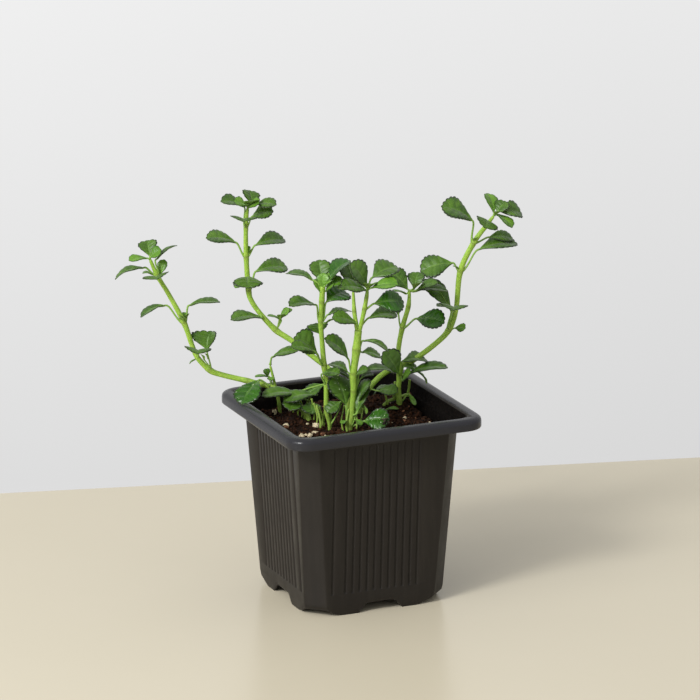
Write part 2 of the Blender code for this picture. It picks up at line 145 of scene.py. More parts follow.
class Nodes:
    """A tree of shader nodes, made and linked by short calls."""

    def __init__(self, tree):
        self.tree = tree

    def node(self, kind, **settings):
        made = self.tree.nodes.new("ShaderNode" + kind)
        for key, value in settings.items():
            setattr(made, key, value)
        return made

    def feed(self, socket, value):
        if isinstance(value, bpy.types.NodeSocket):
            self.tree.links.new(value, socket)
        else:
            socket.default_value = value

    def math(self, operation, first, second=0.0):
        made = self.node("Math", operation=operation)
        for socket, value in zip(made.inputs, (first, second)):
            self.feed(socket, value)
        return made.outputs[0]

    def times(self, first, second):
        return self.math("MULTIPLY", first, second)

    def plus(self, first, second):
        return self.math("ADD", first, second)

    def ease(self, value, low, high, to_low=0.0, to_high=1.0, step="SMOOTHSTEP"):
        """A smooth step of value, from to_low at low to to_high at high."""
        made = self.node("MapRange", interpolation_type=step)
        for socket, number in zip(made.inputs, (value, low, high, to_low, to_high)):
            self.feed(socket, number)
        return made.outputs[0]

    def split(self, vector):
        """The three values of a vector."""
        made = self.node("SeparateXYZ")
        self.feed(made.inputs[0], vector)
        return made.outputs


class Shading(Nodes):
    """A material's nodes."""

    def __init__(self, name):
        self.material = bpy.data.materials.new(name)
        self.material.use_nodes = True
        super().__init__(self.material.node_tree)
        self.shader = self.tree.nodes["Principled BSDF"]
        self.place = self.node("TexCoord").outputs["Object"]

    def set(self, **values):
        for key, value in values.items():
            self.feed(self.shader.inputs[key.replace("_", " ")], value)

    def mix(self, share, first, second):
        made = self.node("Mix", data_type="RGBA")
        self.feed(made.inputs["Factor"], share)
        self.feed(made.inputs[6], first)
        self.feed(made.inputs[7], second)
        return made.outputs[2]

    def attribute(self, name):
        return self.node("Attribute", attribute_name=name).outputs["Vector"]

    def noise(self, scale, detail=3.0, rough=0.55, stretch=None, where=None):
        made = self.node("TexNoise")
        self.feed(made.inputs["Vector"], self.stretched(where or self.place, stretch))
        self.feed(made.inputs["Scale"], scale)
        self.feed(made.inputs["Detail"], detail)
        self.feed(made.inputs["Roughness"], rough)
        return made.outputs["Fac"]

    def cells(self, scale):
        made = self.node("TexVoronoi")
        self.feed(made.inputs["Vector"], self.place)
        self.feed(made.inputs["Scale"], scale)
        return made.outputs["Distance"]

    def stretched(self, where, stretch):
        if stretch is None:
            return where
        made = self.node("Mapping")
        self.feed(made.inputs["Vector"], where)
        made.inputs["Scale"].default_value = stretch
        return made.outputs["Vector"]

    def bump(self, height, depth, strength):
        made = self.node("Bump")
        self.feed(made.inputs["Height"], height)
        made.inputs["Distance"].default_value = depth
        made.inputs["Strength"].default_value = strength
        self.set(Normal=made.outputs["Normal"])


def leaf_material(name, deep, light, edge, under, roughness):
    """Leaf: darker and lighter patches, pale midrib and side veins, dark toothed edge, greyer underside."""
    s = Shading(name)
    phase, out, along = s.split(s.attribute("blade"))
    below, stalk, tone = s.split(s.attribute("kind"))
    colour = s.mix(s.ease(s.noise(150, 2), 0.3, 0.75), deep, light)
    colour = s.mix(s.times(tone, 0.55), colour, light)
    from_vein = s.math("ABSOLUTE", s.math("SUBTRACT", s.math("FRACT", s.plus(phase, 0.5)), 0.5))
    side_vein = s.ease(from_vein, 0.03, 0.17, 1, 0)
    side_vein = s.times(side_vein, s.ease(out, 0.2, 0.95, 1, 0.1))
    midrib = s.times(s.ease(out, 0.03, 0.13, 1, 0), s.ease(along, 0.55, 1.0, 1, 0))
    veins = s.math("MAXIMUM", midrib, s.times(side_vein, 0.40))
    vein_colour = s.mix(0.5, light, srgb(150, 190, 100))
    colour = s.mix(s.times(veins, 0.30), colour, vein_colour)
    colour = s.mix(s.ease(along, 0.0, 0.30, 0.5, 0), colour, srgb(112, 156, 52))
    colour = s.mix(s.ease(out, 0.82, 0.94, 0, 0.92), colour, edge)
    colour = s.mix(s.times(below, 0.75), colour, under)
    stalk_colour = s.mix(s.noise(900, 2), srgb(112, 152, 58), srgb(146, 182, 80))
    colour = s.mix(stalk, colour, stalk_colour)
    s.set(Base_Color=colour, Specular_IOR_Level=0.42, Subsurface_Weight=0.12, Subsurface_Scale=0.0012)
    s.set(Subsurface_Radius=(0.6, 1.0, 0.25), Sheen_Weight=0.11, Sheen_Roughness=0.42)
    grain = s.noise(2600, 2)
    s.set(Roughness=s.plus(s.times(grain, 0.16), s.ease(below, 0, 1, roughness, 0.52)))
    height = s.plus(s.times(grain, 0.35), s.times(veins, -0.8))
    s.bump(height, 0.00016, 0.6)
    return s.material


def stem_material():
    """Stem: fleshy yellow green with fine lengthwise streaks, and a darker brownish ring at each node."""
    s = Shading("stem_skin")
    node, base, _ = s.split(s.attribute("mark"))
    where = s.attribute("skin")
    streaks = s.noise(5.5, 4, 0.6, stretch=(1, 1, 0.10), where=where)
    blotches = s.noise(1.3, 3, 0.6, where=where)
    colour = s.mix(s.ease(streaks, 0.35, 0.70), srgb(124, 164, 50), srgb(170, 198, 86))
    colour = s.mix(s.ease(blotches, 0.45, 0.75, 0, 0.5), colour, srgb(140, 184, 66))
    colour = s.mix(s.times(node, 0.75), colour, srgb(118, 136, 58))
    colour = s.mix(s.times(base, 0.55), colour, srgb(128, 150, 74))
    s.set(Base_Color=colour, Specular_IOR_Level=0.30, Subsurface_Weight=0.25, Subsurface_Scale=0.0015)
    s.set(Subsurface_Radius=(0.9, 1.0, 0.3))
    s.set(Roughness=s.ease(streaks, 0.2, 0.8, 0.50, 0.36))
    s.bump(s.plus(streaks, s.times(node, -0.6)), 0.00014, 0.6)
    return s.material


def pot_material():
    """Moulded polypropylene: warm near-black, faintly streaked along the draw, with dust and rubbed spots."""
    s = Shading("moulded_black")
    streaks = s.noise(260, 4, 0.6, stretch=(1, 1, 0.05))
    mottle = s.noise(60, 4, 0.6)
    specks = s.ease(s.noise(1500, 2), 0.66, 0.78)
    colour = s.mix(s.ease(streaks, 0.3, 0.75), srgb(29, 25, 22), srgb(36, 32, 28))
    colour = s.mix(s.ease(mottle, 0.5, 0.8, 0, 0.35), colour, srgb(44, 39, 34))
    x, y, _ = s.split(s.place)
    across = s.math("ABSOLUTE", s.math("SUBTRACT", x, POT_AXIS.x))
    deep = s.math("ABSOLUTE", s.math("SUBTRACT", y, POT_AXIS.y))
    # The rim: smoother, and painted lighter and bluer as a painted reflection of the pale studio.
    rim = s.ease(s.math("MAXIMUM", across, deep), RIM_FROM, RIM_FULL)
    colour = s.mix(rim, colour, srgb(43, 43, 47))
    colour = s.mix(s.times(specks, 0.2), colour, srgb(84, 76, 64))
    s.set(Base_Color=colour, Specular_IOR_Level=0.26)
    rough = s.plus(s.ease(mottle, 0.25, 0.8, 0.34, 0.50), s.times(streaks, 0.08))
    s.set(Roughness=s.math("SUBTRACT", rough, s.times(rim, 0.30)))
    s.bump(s.plus(s.noise(2200, 2), s.times(streaks, 0.8)), 0.00008, 0.5)
    return s.material


def earth_material(name, dark, mid, pale, shine=0.14):
    s = Shading(name)
    colour = s.mix(s.ease(s.noise(420, 5, 0.65), 0.35, 0.62), dark, mid)
    colour = s.mix(s.ease(s.noise(1300, 3), 0.60, 0.78), colour, pale)
    rough = s.ease(s.noise(700, 3), 0.3, 0.7, 0.65, 0.95)
    s.set(Base_Color=colour, Specular_IOR_Level=shine, Roughness=rough)
    s.bump(s.noise(1700, 5, 0.7), 0.0006, 1.0)
    return s.material


def perlite_material():
    s = Shading("perlite_grain")
    pits = s.cells(1900)
    colour = s.mix(s.ease(pits, 0.1, 0.6), srgb(150, 132, 98), srgb(228, 214, 178))
    colour = s.mix(s.ease(s.noise(600, 3), 0.45, 0.7, 0, 0.6), colour, srgb(120, 96, 64))
    s.set(Base_Color=colour, Roughness=s.ease(pits, 0, 0.6, 0.95, 0.75))
    s.bump(pits, 0.0004, 0.9)
    return s.material


def bark_material():
    s = Shading("bark_flake")
    rings = s.noise(500, 4, 0.6, stretch=(1, 4, 1))
    colour = s.mix(s.ease(rings, 0.35, 0.65), srgb(76, 44, 26), srgb(150, 100, 66))
    s.set(Base_Color=colour, Roughness=s.ease(rings, 0.3, 0.7, 0.9, 0.7))
    s.bump(rings, 0.0004, 1.0)
    return s.material


# Painted glints: opaque pale green-white drops in place of clear water.
def dew_glint_material():
    s = Shading("painted_glint_drop")
    colour = s.mix(s.noise(900, 2), srgb(196, 222, 168), srgb(236, 244, 214))
    s.set(Base_Color=colour, Roughness=s.ease(s.noise(2500, 2), 0.3, 0.7, 0.04, 0.10), Specular_IOR_Level=0.6)
    return s.material


LEAF_DEEP = leaf_material("leaf_deep_green", srgb(44, 78, 10), srgb(77, 113, 25), srgb(18, 32, 8),
                          srgb(110, 140, 64), 0.34)
LEAF_GLOSSY = leaf_material("leaf_glossy_green", srgb(32, 72, 8), srgb(50, 97, 17), srgb(18, 36, 8),
                            srgb(96, 134, 56), 0.17)
LEAF_FRESH = leaf_material("leaf_fresh_green", srgb(66, 112, 14), srgb(106, 150, 42), srgb(38, 68, 14),
                           srgb(120, 154, 58), 0.32)
STEM_SKIN = stem_material()
POT_BLACK = pot_material()
EARTH = earth_material("earth_bed", srgb(17, 8, 4), srgb(40, 22, 12), srgb(74, 45, 27))
CRUMB = earth_material("earth_crumb", srgb(22, 12, 6), srgb(62, 36, 20), srgb(106, 72, 44))
# Painted shade for the pot's inner walls above the soil, near-black with a few pale soil flecks.
INNER_SHADE = earth_material("painted_inner_shade", srgb(9, 7, 6), srgb(15, 12, 10), srgb(52, 40, 30), 0.04)
PERLITE = perlite_material()
BARK = bark_material()
SCAR = earth_material("leaf_scar", srgb(34, 33, 24), srgb(88, 84, 66), srgb(170, 162, 140))
DEW_GLINT = dew_glint_material()


# ---------------------------------------------------------------- mesh helpers

class Shape:
    """Points, faces and named values of each point, gathered for one mesh."""

    def __init__(self):
        self.points, self.faces, self.values = [], [], {}

    def add(self, points, faces, **values):
        offset = len(self.points)
        self.points.extend(map(tuple, points))
        self.faces.extend(tuple(offset + i for i in face) for face in faces)
        for key, rows in values.items():
            self.values.setdefault(key, []).extend(map(tuple, rows))

    def piece(self, name, material, slot, weld=0.0):
        mesh = bpy.data.meshes.new(name)
        mesh.from_pydata(self.points, [], self.faces)
        for key, rows in self.values.items():
            made = mesh.attributes.new(key, "FLOAT_VECTOR", "POINT")
            made.data.foreach_set("vector", np.array(rows, np.float32).ravel())
        if weld:
            built = bmesh.new()
            built.from_mesh(mesh)
            bmesh.ops.remove_doubles(built, verts=built.verts, dist=weld)
            bmesh.ops.dissolve_degenerate(built, edges=built.edges, dist=weld)
            bmesh.ops.recalc_face_normals(built, faces=built.faces)
            built.to_mesh(mesh)
            built.free()
        return shown(name, mesh, material)


def shown(name, mesh, material):
    """A smooth-shaded piece that rides on the one body."""
    mesh.materials.append(material)
    mesh.shade_smooth()
    piece = linked(name, mesh)
    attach(piece, "root")
    return piece


def unit(rows):
    return rows / np.maximum(np.linalg.norm(rows, axis=-1, keepdims=True), 1e-12)


def sweep(path, radii, sides, ridge=0.0):
    """Points and faces of a capped tube along path, and each point's angle round it."""
    path = np.array(path, float)
    ways = unit(np.gradient(path, axis=0))
    normal = np.cross(ways[0], (0.3, 0.2, 1.0))
    angles = np.arange(sides) * 2 * math.pi / sides
    swell = 1 + ridge * np.cos(4 * angles)
    rings = []
    for centre, way, radius in zip(path, ways, radii):
        normal = unit(normal - way * np.dot(normal, way))
        other = np.cross(way, normal)
        spokes = np.outer(np.cos(angles) * swell, normal) + np.outer(np.sin(angles) * swell, other)
        rings.append(centre + radius * spokes)
    faces = quads(len(path), sides) + caps(len(path), sides)
    return np.vstack(rings), faces, np.tile(angles, len(path))


def bezier(ends, count):
    """Points on a cubic curve through four control points."""
    t = np.linspace(0, 1, count)[:, None]
    a, b, c, d = (np.array(p, float) for p in ends)
    return (1 - t) ** 3 * a + 3 * (1 - t) ** 2 * t * b + 3 * (1 - t) * t * t * c + t ** 3 * d


# ---------------------------------------------------------------- the plant's plan

# Stems: (across, deep, up, thickness) in mm, as in the CAD. The first point is the root end.
STEMS = {
    "left": [
        (-20, 6, 79, 2.6), (-21, 7, 87, 2.6), (-24, 8, 91, 2.5), (-30, 11, 97, 2.5), (-40, 14, 101, 2.5),
        (-51, 16, 103.5, 2.5), (-64, 17, 106.5, 2.5), (-70, 17, 109, 2.7), (-76, 17, 115.5, 2.4),
        (-78.5, 17, 121.5, 2.3), (-82.5, 17, 133.5, 2.5), (-90, 18, 148, 2.1), (-95.5, 18, 157.5, 2.1),
        (-99, 18, 166, 1.3),
    ],
    "back_left": [
        (-1, 9, 79, 2.6), (-1, 10, 91, 2.6), (-2, 12, 99.5, 2.5), (-8, 16, 107, 2.5),
        (-16.5, 19, 113.5, 2.5), (-29, 22, 122.5, 2.5), (-37, 24, 127.5, 2.7), (-44.5, 25, 135.5, 2.3),
        (-49, 26, 142, 2.3), (-50.5, 27, 147.5, 2.5), (-51.5, 27, 164.5, 2.3), (-51.5, 27, 180, 2.0),
        (-50.5, 26, 190, 1.3),
    ],
    "front": [
        (-10.5, -6, 79, 1.5), (-10.5, -6, 87, 1.6), (-12, -6, 95, 2.0), (-12, -5, 108, 2.3),
        (-13, -5, 117.5, 2.5), (-14, -4, 130.5, 2.2), (-14.5, -4, 139.5, 2.3), (-14, -4, 149.5, 2.4),
        (-13.5, -4, 158, 2.7),
    ],
    "centre": [
        (-0.5, -8, 79, 2.6), (-0.5, -8, 87, 2.9), (0.5, -8, 93, 2.6), (1.5, -8, 105, 2.6),
        (1.5, -8, 114, 3.0), (3, -7, 126, 3.7), (4, -7, 136.5, 3.0),
    ],
    "centre_left": [
        (2.8, -6.2, 139.6, 1.9), (2, -5, 145, 1.8), (1.5, -3, 155, 1.2),
    ],
    "centre_right": [
        (5.4, -7.6, 139.6, 1.9), (7, -8, 147, 1.9), (8, -8, 153, 1.7), (8.5, -8, 157, 1.2),
    ],
    "right": [
        (24.5, 24, 79, 2.4), (24.5, 24, 90, 2.4), (24, 24, 97, 2.4), (24.5, 24, 104, 2.4),
        (24, 24, 116.5, 2.2), (26, 24, 128.5, 2.3), (29, 24, 139.5, 2.0), (29.5, 24, 147.5, 1.3),
    ],
    "tall": [
        (4.5, 18, 79, 2.7), (4.5, 18.5, 87, 2.7), (5.5, 20, 92, 2.6), (9.5, 22, 98, 2.6),
        (17.5, 25, 105, 2.6), (30.5, 28, 110, 2.6), (43, 31, 118.5, 2.6), (49.5, 32, 125.5, 2.8),
        (53, 33, 136, 2.4), (55, 33, 155, 2.6), (61.5, 33, 169.5, 2.5), (68, 32, 179, 2.0),
        (71.5, 31, 184, 1.3),
    ],
    "sprout": [
        (-35, 20, 79, 1.6), (-35.5, 21, 89, 1.6), (-37, 22, 97, 1.5), (-40, 22, 110, 1.0),
    ],
}

# The points of each stem that are nodes, where it swells in a ring and carries leaves.
NODES = {
    "left": (3, 5, 7, 10, 12), "back_left": (3, 6, 9, 10, 11), "front": (2, 4, 6, 7),
    "centre": (1, 3, 4, 5, 6), "centre_left": (1,), "centre_right": (1, 2), "right": (1, 3, 5, 6),
    "tall": (2, 5, 7, 9, 10, 11), "sprout": (1,),
}

# Leaves by shoot, numbered from 1 in their names. Each says the point of the stem that it grows from, petiole
# and blade as (across, deep, up) in mm, blade width in mm, roll of the blade about its midrib in degrees, and
# how far the tip droops in mm. The low leaves grow from the foot of the centre stem.
LEAVES = {
    "left": [
        (7, (-1.2, 0, 10.4), (1.5, 4, 8.6), 15, -10, 1), (8, (0.5, -3.5, 4), (0, -12, 3.5), 13, -3, 1),
        (10, (-9.2, 0, 8.9), (-12.5, -3, -3.5), 8.5, 0, 2), (10, (2.8, 0, 8.9), (15, 3, 0.8), 9.5, 0, 0.3),
        (12, (-6.2, 0, 4.1), (-15, -1, -3.6), 10, 0, 2), (12, (-0.5, 0, 8.2), (10.3, 3, 6.4), 7.5, -12, 0),
        (13, (0, 0.5, 1.5), (-1.5, 6, 6.2), 9.5, -15, 0),
        (4, (-5.5, -3, 4.3), (-8.2, -13, -8.1), 14.5, 0, 0.5),
    ],
    "back_left": [
        (7, (0.5, -3, -1), (-15, -4, 1), 12, -10, 1), (9, (0, -4, 7.6), (0, -13, -1.2), 14.5, 0, 0.8),
        (9, (4, 0, 9.6), (15, 6, 1.2), 13, 20, 1), (10, (-5.2, 0, 7.4), (-14.2, -2, 3.6), 13, -14, 1),
        (10, (4.7, 0, 6), (14.4, 4, 2.4), 13, 18, 1), (11, (-1, -4, 4), (0, -12, 3.5), 13, -6, 1),
        (11, (-1.2, 0, 10.4), (-10.5, -3, 4.2), 10.5, -16, 1),
        (12, (2, 1, 1.5), (-1.5, 6, 5.5), 10, 20, 0), (11, (3.2, 0, 5.2), (9.8, -2, 3.8), 12, 30, 1),
    ],
    "front": [
        (4, (-3.6, -1, 6.5), (-10, -4, 9.5), 14.5, -48, 1),
        (6, (-2.5, 0, 8.7), (-12.5, -6, 2.3), 12, -12, 1), (6, (3, 1, 10), (9, 8, 4), 14, 25, 1.5),
        (8, (-4.8, 0, 2.7), (-12.8, 5, 3.2), 11, 0, 1.5),
        (8, (-0.2, 2.8, 1), (-1.8, 6, 9.5), 10.5, -12, 0), (8, (2.2, -1, 1.5), (10.5, 3, 11.2), 15, 5, 1),
    ],
    "centre": [
        (4, (-2.7, -1, 8), (-10, -3, 12), 12.5, -35, 2), (6, (-1.2, -1, 3.4), (-11, -4, 4.6), 10, -30, 1),
        (5, (3.2, 0, 4.6), (12.5, -3, -0.6), 6.8, 4, 4), (3, (3.8, 2, 9.7), (16, 5, -0.2), 11, 0, 2),
        (6, (5.5, 2, 5.3), (13.2, 3, 1.6), 13, 12, 1),
    ],
    "centre_left": [
        (2, (-0.6, 1, 2), (-3.5, 5, 10), 11, 0, 0),
    ],
    "centre_right": [
        (3, (-0.5, -0.5, 1.5), (-7, -4, 13), 13, -60, 1), (2, (0, -1, 3.6), (-11.8, -6, 4.4), 13, -20, 1),
        (3, (2.2, 1, 5.6), (12, 6, 4.9), 15, 20, 1), (1, (4.8, 1, 2.5), (14.5, 4, 0.4), 13.5, 38, 1),
        (3, (2, -2, 1.3), (12.5, -4, 3.5), 11, 20, 1),
    ],
    "right": [
        (3, (-0.4, -2.2, 1.6), (-6.6, -3.5, 11.7), 12.5, -75, 1.5),
        (3, (4, -1, 0.6), (19.5, -2, 5.4), 12, 5, 1.5), (5, (7, -4, 5.8), (13, -7, 1), 13, 30, 1.5),
        (7, (2.5, 1, 1), (2, 6, 6.8), 9, 0, 0),
    ],
    "tall": [
        (7, (0.7, -1, 10.3), (-11, 2, 16), 9.5, -45, 5), (7, (1.7, -5.4, 12.2), (0, -13, 3.5), 14, -6, 1),
        (9, (-3.8, 0, 4.4), (-16, -2, -3), 15, -32, 1.5), (9, (9.2, 0, 11.3), (19, 5, 2.0), 15, 14, 0.4),
        (10, (-0.8, 0, 11.9), (-14.5, -2, 8.3), 16, -25, 1), (10, (7.8, 3, 2.3), (12, 4, -1), 8.5, 28, 1),
        (12, (0, 1, 1.5), (-3, 7, 8), 8, 20, 0), (12, (2.5, 0, 2.5), (11.8, 4, -1.5), 12, 28, 1),
    ],
    "sprout": [
        (3, (1.2, -1, 4.4), (12.2, -4.5, 5.0), 10, 12, 1),
    ],
    "low": [
        (1, (-1.8, 1, 10.5), (-5, 6, 13.7), 15, 0, 1), (1, (7, -1, 2.8), (12, -4, 2.8), 13, 40, 1),
    ],
}

# Leaves too small or too crowded for a solid of their own, in the same terms, by piece and by shoot.
SIDE_LEAVES = {
    "left": {"left": [
        (12, (1, 1, -0.5), (2.6, 3, 7.5), 5, 20, 0), (12, (0, -3, -0.5), (0, -12, 3.4), 13, 15, 1),
        (12, (-2, 0, 0.5), (-5, -1, 1.5), 5, 0, 0.5), (13, (0.3, -0.5, 1), (5.3, -1, 4), 7.5, 40, 0),
        (13, (-1.5, -0.5, 0.5), (-8.5, -4, 0.4), 6.5, -15, 0.5),
        (10, (0, -0.5, 1.5), (-2.5, -1, 3), 3, 0, 0), (10, (0.8, -0.5, 1.5), (1.5, -1, 3.5), 3, 0, 0),
        (10, (0, -1, 1), (-0.5, -3, 2.5), 4, 0, 0), (10, (0.5, 1, 1.5), (-1, 2, 3), 3, 0, 0),
        (7, (-0.5, -1, 6), (-1.5, -1, 3), 3, 0, 0), (7, (-2.5, -1, 5.5), (-1.5, -1, 3), 3, 0, 0),
        (8, (-1.2, 0, -0.8), (-2.8, 0, -2.5), 2.5, 0, 0),
    ]},
    "back_left": {"back_left": [
        (6, (2.5, 0, 5.5), (-6.5, -1, 2.5), 4.5, 0, 0.5), (6, (2.3, 0, 6), (4.5, 0, 5), 5, 30, 0),
        (6, (2.4, -0.5, 6), (0.5, -3, 3), 4, 0, 0), (6, (2.6, 0, 7), (5.5, 1, 3.5), 4, 20, 0),
        (9, (-2, -2, 3), (-4.5, -3, 0), 6, 0, 0.5), (12, (-0.5, -1, 1), (-6, -2, 3), 7.5, -30, 0),
        (12, (0.5, -1, 1), (5, -4, 2.4), 7.9, 30, 0),
        (12, (4.2, -0.5, 1.8), (9.8, -2, 0.6), 10.5, 12, 0.5), (12, (1, -1.5, 1), (1.5, -5, 4), 7.5, 0, 0),
        (12, (0, -1, 1), (-2, -4, 1.5), 5, 0, 0), (10, (1.2, -0.5, 2), (2, -1, 2.5), 2.6, 0, 0),
        (10, (0.8, 0.5, 2), (0.5, 1, 3.2), 2.6, 0, 0),
    ]},
    "front": {"front": [
        (6, (3.5, 0, 3.6), (11, 6, 1), 10, 0, 1), (6, (2, -1, -0.5), (6, -2, 3), 5, -10, 0.5),
        (3, (-2, -3, 6), (8.5, -4, 2), 9, 20, 1), (5, (-1, 3, 2), (-2.2, 4, 4.5), 11, -10, 0.5),
        (4, (-5, -6, 9), (-10.5, -5, 4.5), 8.5, -25, 1), (8, (1, -1.5, 0), (4, 2, 6), 6, 20, 0.5),
        (8, (2.5, 0, -0.5), (7.5, 0, 3.5), 7.5, 30, 0.5), (8, (0, -1, -1), (0.5, 2, 7), 6.5, 0, 0),
        (8, (1.5, 0, -3), (4.5, -1, 5), 5, 30, 0), (8, (-1.2, -1, -3), (-2.5, 2, 6), 4.5, -20, 0),
    ]},
    "centre": {"centre_right": [
        (3, (0.5, 0, 1), (3, -4, 3), 6, 0, 0), (3, (0, -1, 0.5), (-2, -4, 4), 6, 0, 0),
    ], "centre": [
        (2, (2.7, -2.5, 1.5), (4.5, 6, 13.5), 9, 0, 0.5),
        (1, (5.2, -1, 12.4), (3.5, 0, -5.4), 5, -20, 0.5), (1, (3, -2, 4), (3, -2, -2), 5, 0, 0.5),
        (1, (-1.6, -2, 3.5), (-2.4, -2, -1), 4, 0, 0), (5, (2.5, 1, -1.5), (10, 3, -2.8), 11, 10, 1),
        (3, (-2.7, 3, 8.9), (-9, 4, 4), 11, 0, 1), (3, (-2.5, 5, 6), (-7, 3, 3.5), 9, 0, 1),
        (4, (1, -1, -0.5), (6, -1, 3.5), 8, 20, 0.5), (3, (4, 3, 6), (5.5, 2, 2), 9, 0, 0.5),
    ], "centre_left": [
        (2, (-1, 0, 1), (-7, -1, 2), 7, -20, 0.5), (2, (0.5, 0, 0), (4, 7, 7), 9, -20, 0.5),
    ]},
    "right": {"right": [
        (7, (-1, 0, 1), (-8, 1, 9), 11, -40, 1), (7, (3.5, -1, 0.5), (10, -3, 5.5), 8, 20, 1),
        (7, (2, 0, -0.4), (17, 1, 1.2), 10, 8, 1.5), (7, (-1.5, 0, -1.5), (-6.5, -4, 2.6), 6, 0, 0.5),
        (5, (-2, 0, 7), (-3.4, 9, 6), 10, 20, 1), (3, (1.8, 1, 7), (12, 4.5, 0.3), 12, 12, 1),
        (3, (2.5, 0, 4.5), (7, 3, -2), 9, 20, 0.5), (3, (1.5, -2, -2.5), (3.5, -4, 6), 7.8, 50, 0.5),
        (1, (5, 0, 4), (3, -5, -4), 2.6, 40, 0.5), (3, (9, 2, 1.6), (5, 1, -6.5), 6, 0, 0.5),
        (7, (2, -1, 1.5), (3.5, -4, 4), 6, 0, 0), (2, (-4, 1, 1), (-9, 1, -3), 11, 0, 2),
    ]},
    "tall": {"tall": [
        (11, (0, -2, 3), (-1, -9, -1), 12, -32, 0.5), (12, (1, 0, 1), (8, -6, -5), 7.9, 0, 0.5),
        (12, (1.5, 0, 1.5), (4.5, 3, 5), 9, 20, 0), (12, (0.5, -1, 1), (3.5, -4, 2.5), 6, 0, 0),
        (7, (3, -1, 0.8), (5, -2, 0.3), 6, 30, 0), (8, (-1, -1, -1), (-8.5, -4, 4), 8, 0, 0.5),
        (9, (-1, -1, 2), (-2.5, -2, 1.5), 2.5, 0, 0), (10, (0, -1, 1.5), (1.5, -2, 2), 2.5, 0, 0),
    ]},
    "sprout": {"sprout": [
        (2, (-4, -1, 7.5), (-6.5, -2, 0.2), 4, 0, 0), (2, (-4, -1, 7.5), (-1.5, 1, 3.5), 6, 0, 0),
        (2, (-3.6, -1, 7), (1.5, -3, -0.8), 4, 0, 0),
    ]},
    "low": {"centre": [
        (1, (4.2, 1, 11), (5.5, -1, 12.6), 12, 20, 1),
    ], "front": [
        (1, (5.5, 0, 12), (-6.5, -4, -4), 9, -20, 0.5),
    ], "right": [
        (0, (-8, -2, 7), (7.5, -2, 2), 6, 0, 0.5),
    ], "left": [
        (3, (4.5, -2, 1.5), (-18, -5, 2), 12, -10, 1.5), (3, (13, -3, 1.5), (-16, -6, 0), 12, -10, 1.5),
        (3, (17, 2, 5), (-9, -2, -4.5), 10, -20, 0.5), (3, (3, -4, -1), (-3, -8, -2), 10, -10, 1),
        (3, (10, -5, -2), (1, -8, -2.5), 10, 0, 1),
    ], "tall": [
        (3, (4.5, -2.5, -1), (9, -5, 1.5), 9, 20, 1),
    ]},
}

# Leaves that are still young and bright, and blades folded up along the midrib by more or less than usual.
FRESH = ("centre_right_5", "tall_7")
GLOSSY = ("centre_right_4", "low_2", "left_8", "right_3", "front_6", "front_3")
USUAL_FOLD, SMALL_FOLD = 0.26, 0.22
YOUNG_WIDTH = 8
LEAF_WELD = 0.01 * MM
FOLDS = {
    "left_1": 0.85, "left_7": 0.45, "left_8": 0.10, "back_left_2": 0.05, "front_5": 0.35,
    "centre_right_4": 0.02, "low_1": 0.08, "low_2": 0.06, "right_3": 0.12, "tall_3": 0.2,
}

# Blade outline: half-width against length is WIDEST * u ** BASE_POWER * (1 - u) ** TIP_POWER.
BASE_POWER, TIP_POWER = 1.2, 0.6
WIDEST = 1 / ((2 / 3) ** BASE_POWER * (1 / 3) ** TIP_POWER)
TEETH_FROM = 0.40
TOOTH_PITCH = 1.45
TOOTH_DEPTH = 0.042
VEINS = 6
SPREAD = (0.0, 0.07, 0.22, 0.45, 0.68, 0.87, 1.0)
BLADE_THICK = 0.42 * MM
# The blade's face: arch along the midrib as a share of its length, softness of the fold, depth and width of
# the groove over the midrib, and the quilting between the veins as a share of the width.
BLADE_ARCH, FOLD_SOFT = 0.08, 0.5 * MM
GROOVE_DEEP, GROOVE_WIDE = 0.22 * MM, 0.45 * MM
QUILT = 0.018
# A leaf's stalk: radius and sides, then its swelling and its greenness at each point from stem to tip.
# It runs on below the blade, as the midrib, through points at these shares of the blade's length.
STALK_RADIUS, STALK_SIDES = 0.50 * MM, 8
STALK_SWELL = (1.7, 1.25, 1.05, 0.98, 0.95, 0.95, 0.98, 1.0, 1.0, 0.88, 0.74, 0.58, 0.42, 0.22)
STALK_GREEN = (1, 1, 1, 1, 1, 1, 0.95, 0.85, 0.7, 0.45, 0.3, 0.2, 0.1, 0.0)
MIDRIB = (0.08, 0.18, 0.30, 0.44, 0.58)


def leaf_frame(blade, roll):
    """Unit vectors along the blade, across it and out of its upper face."""
    along = blade.normalized()
    face = Vector((0, 0, 1)) - along * along.z
    if face.length < 0.2:
        face = turned_way(0, -1, 0).normalized()
        face = face - along * face.dot(along)
    face.normalize()
    side = face.cross(along)
    turn = Matrix.Rotation(math.radians(roll), 3, along)
    return along, turn @ side, turn @ face


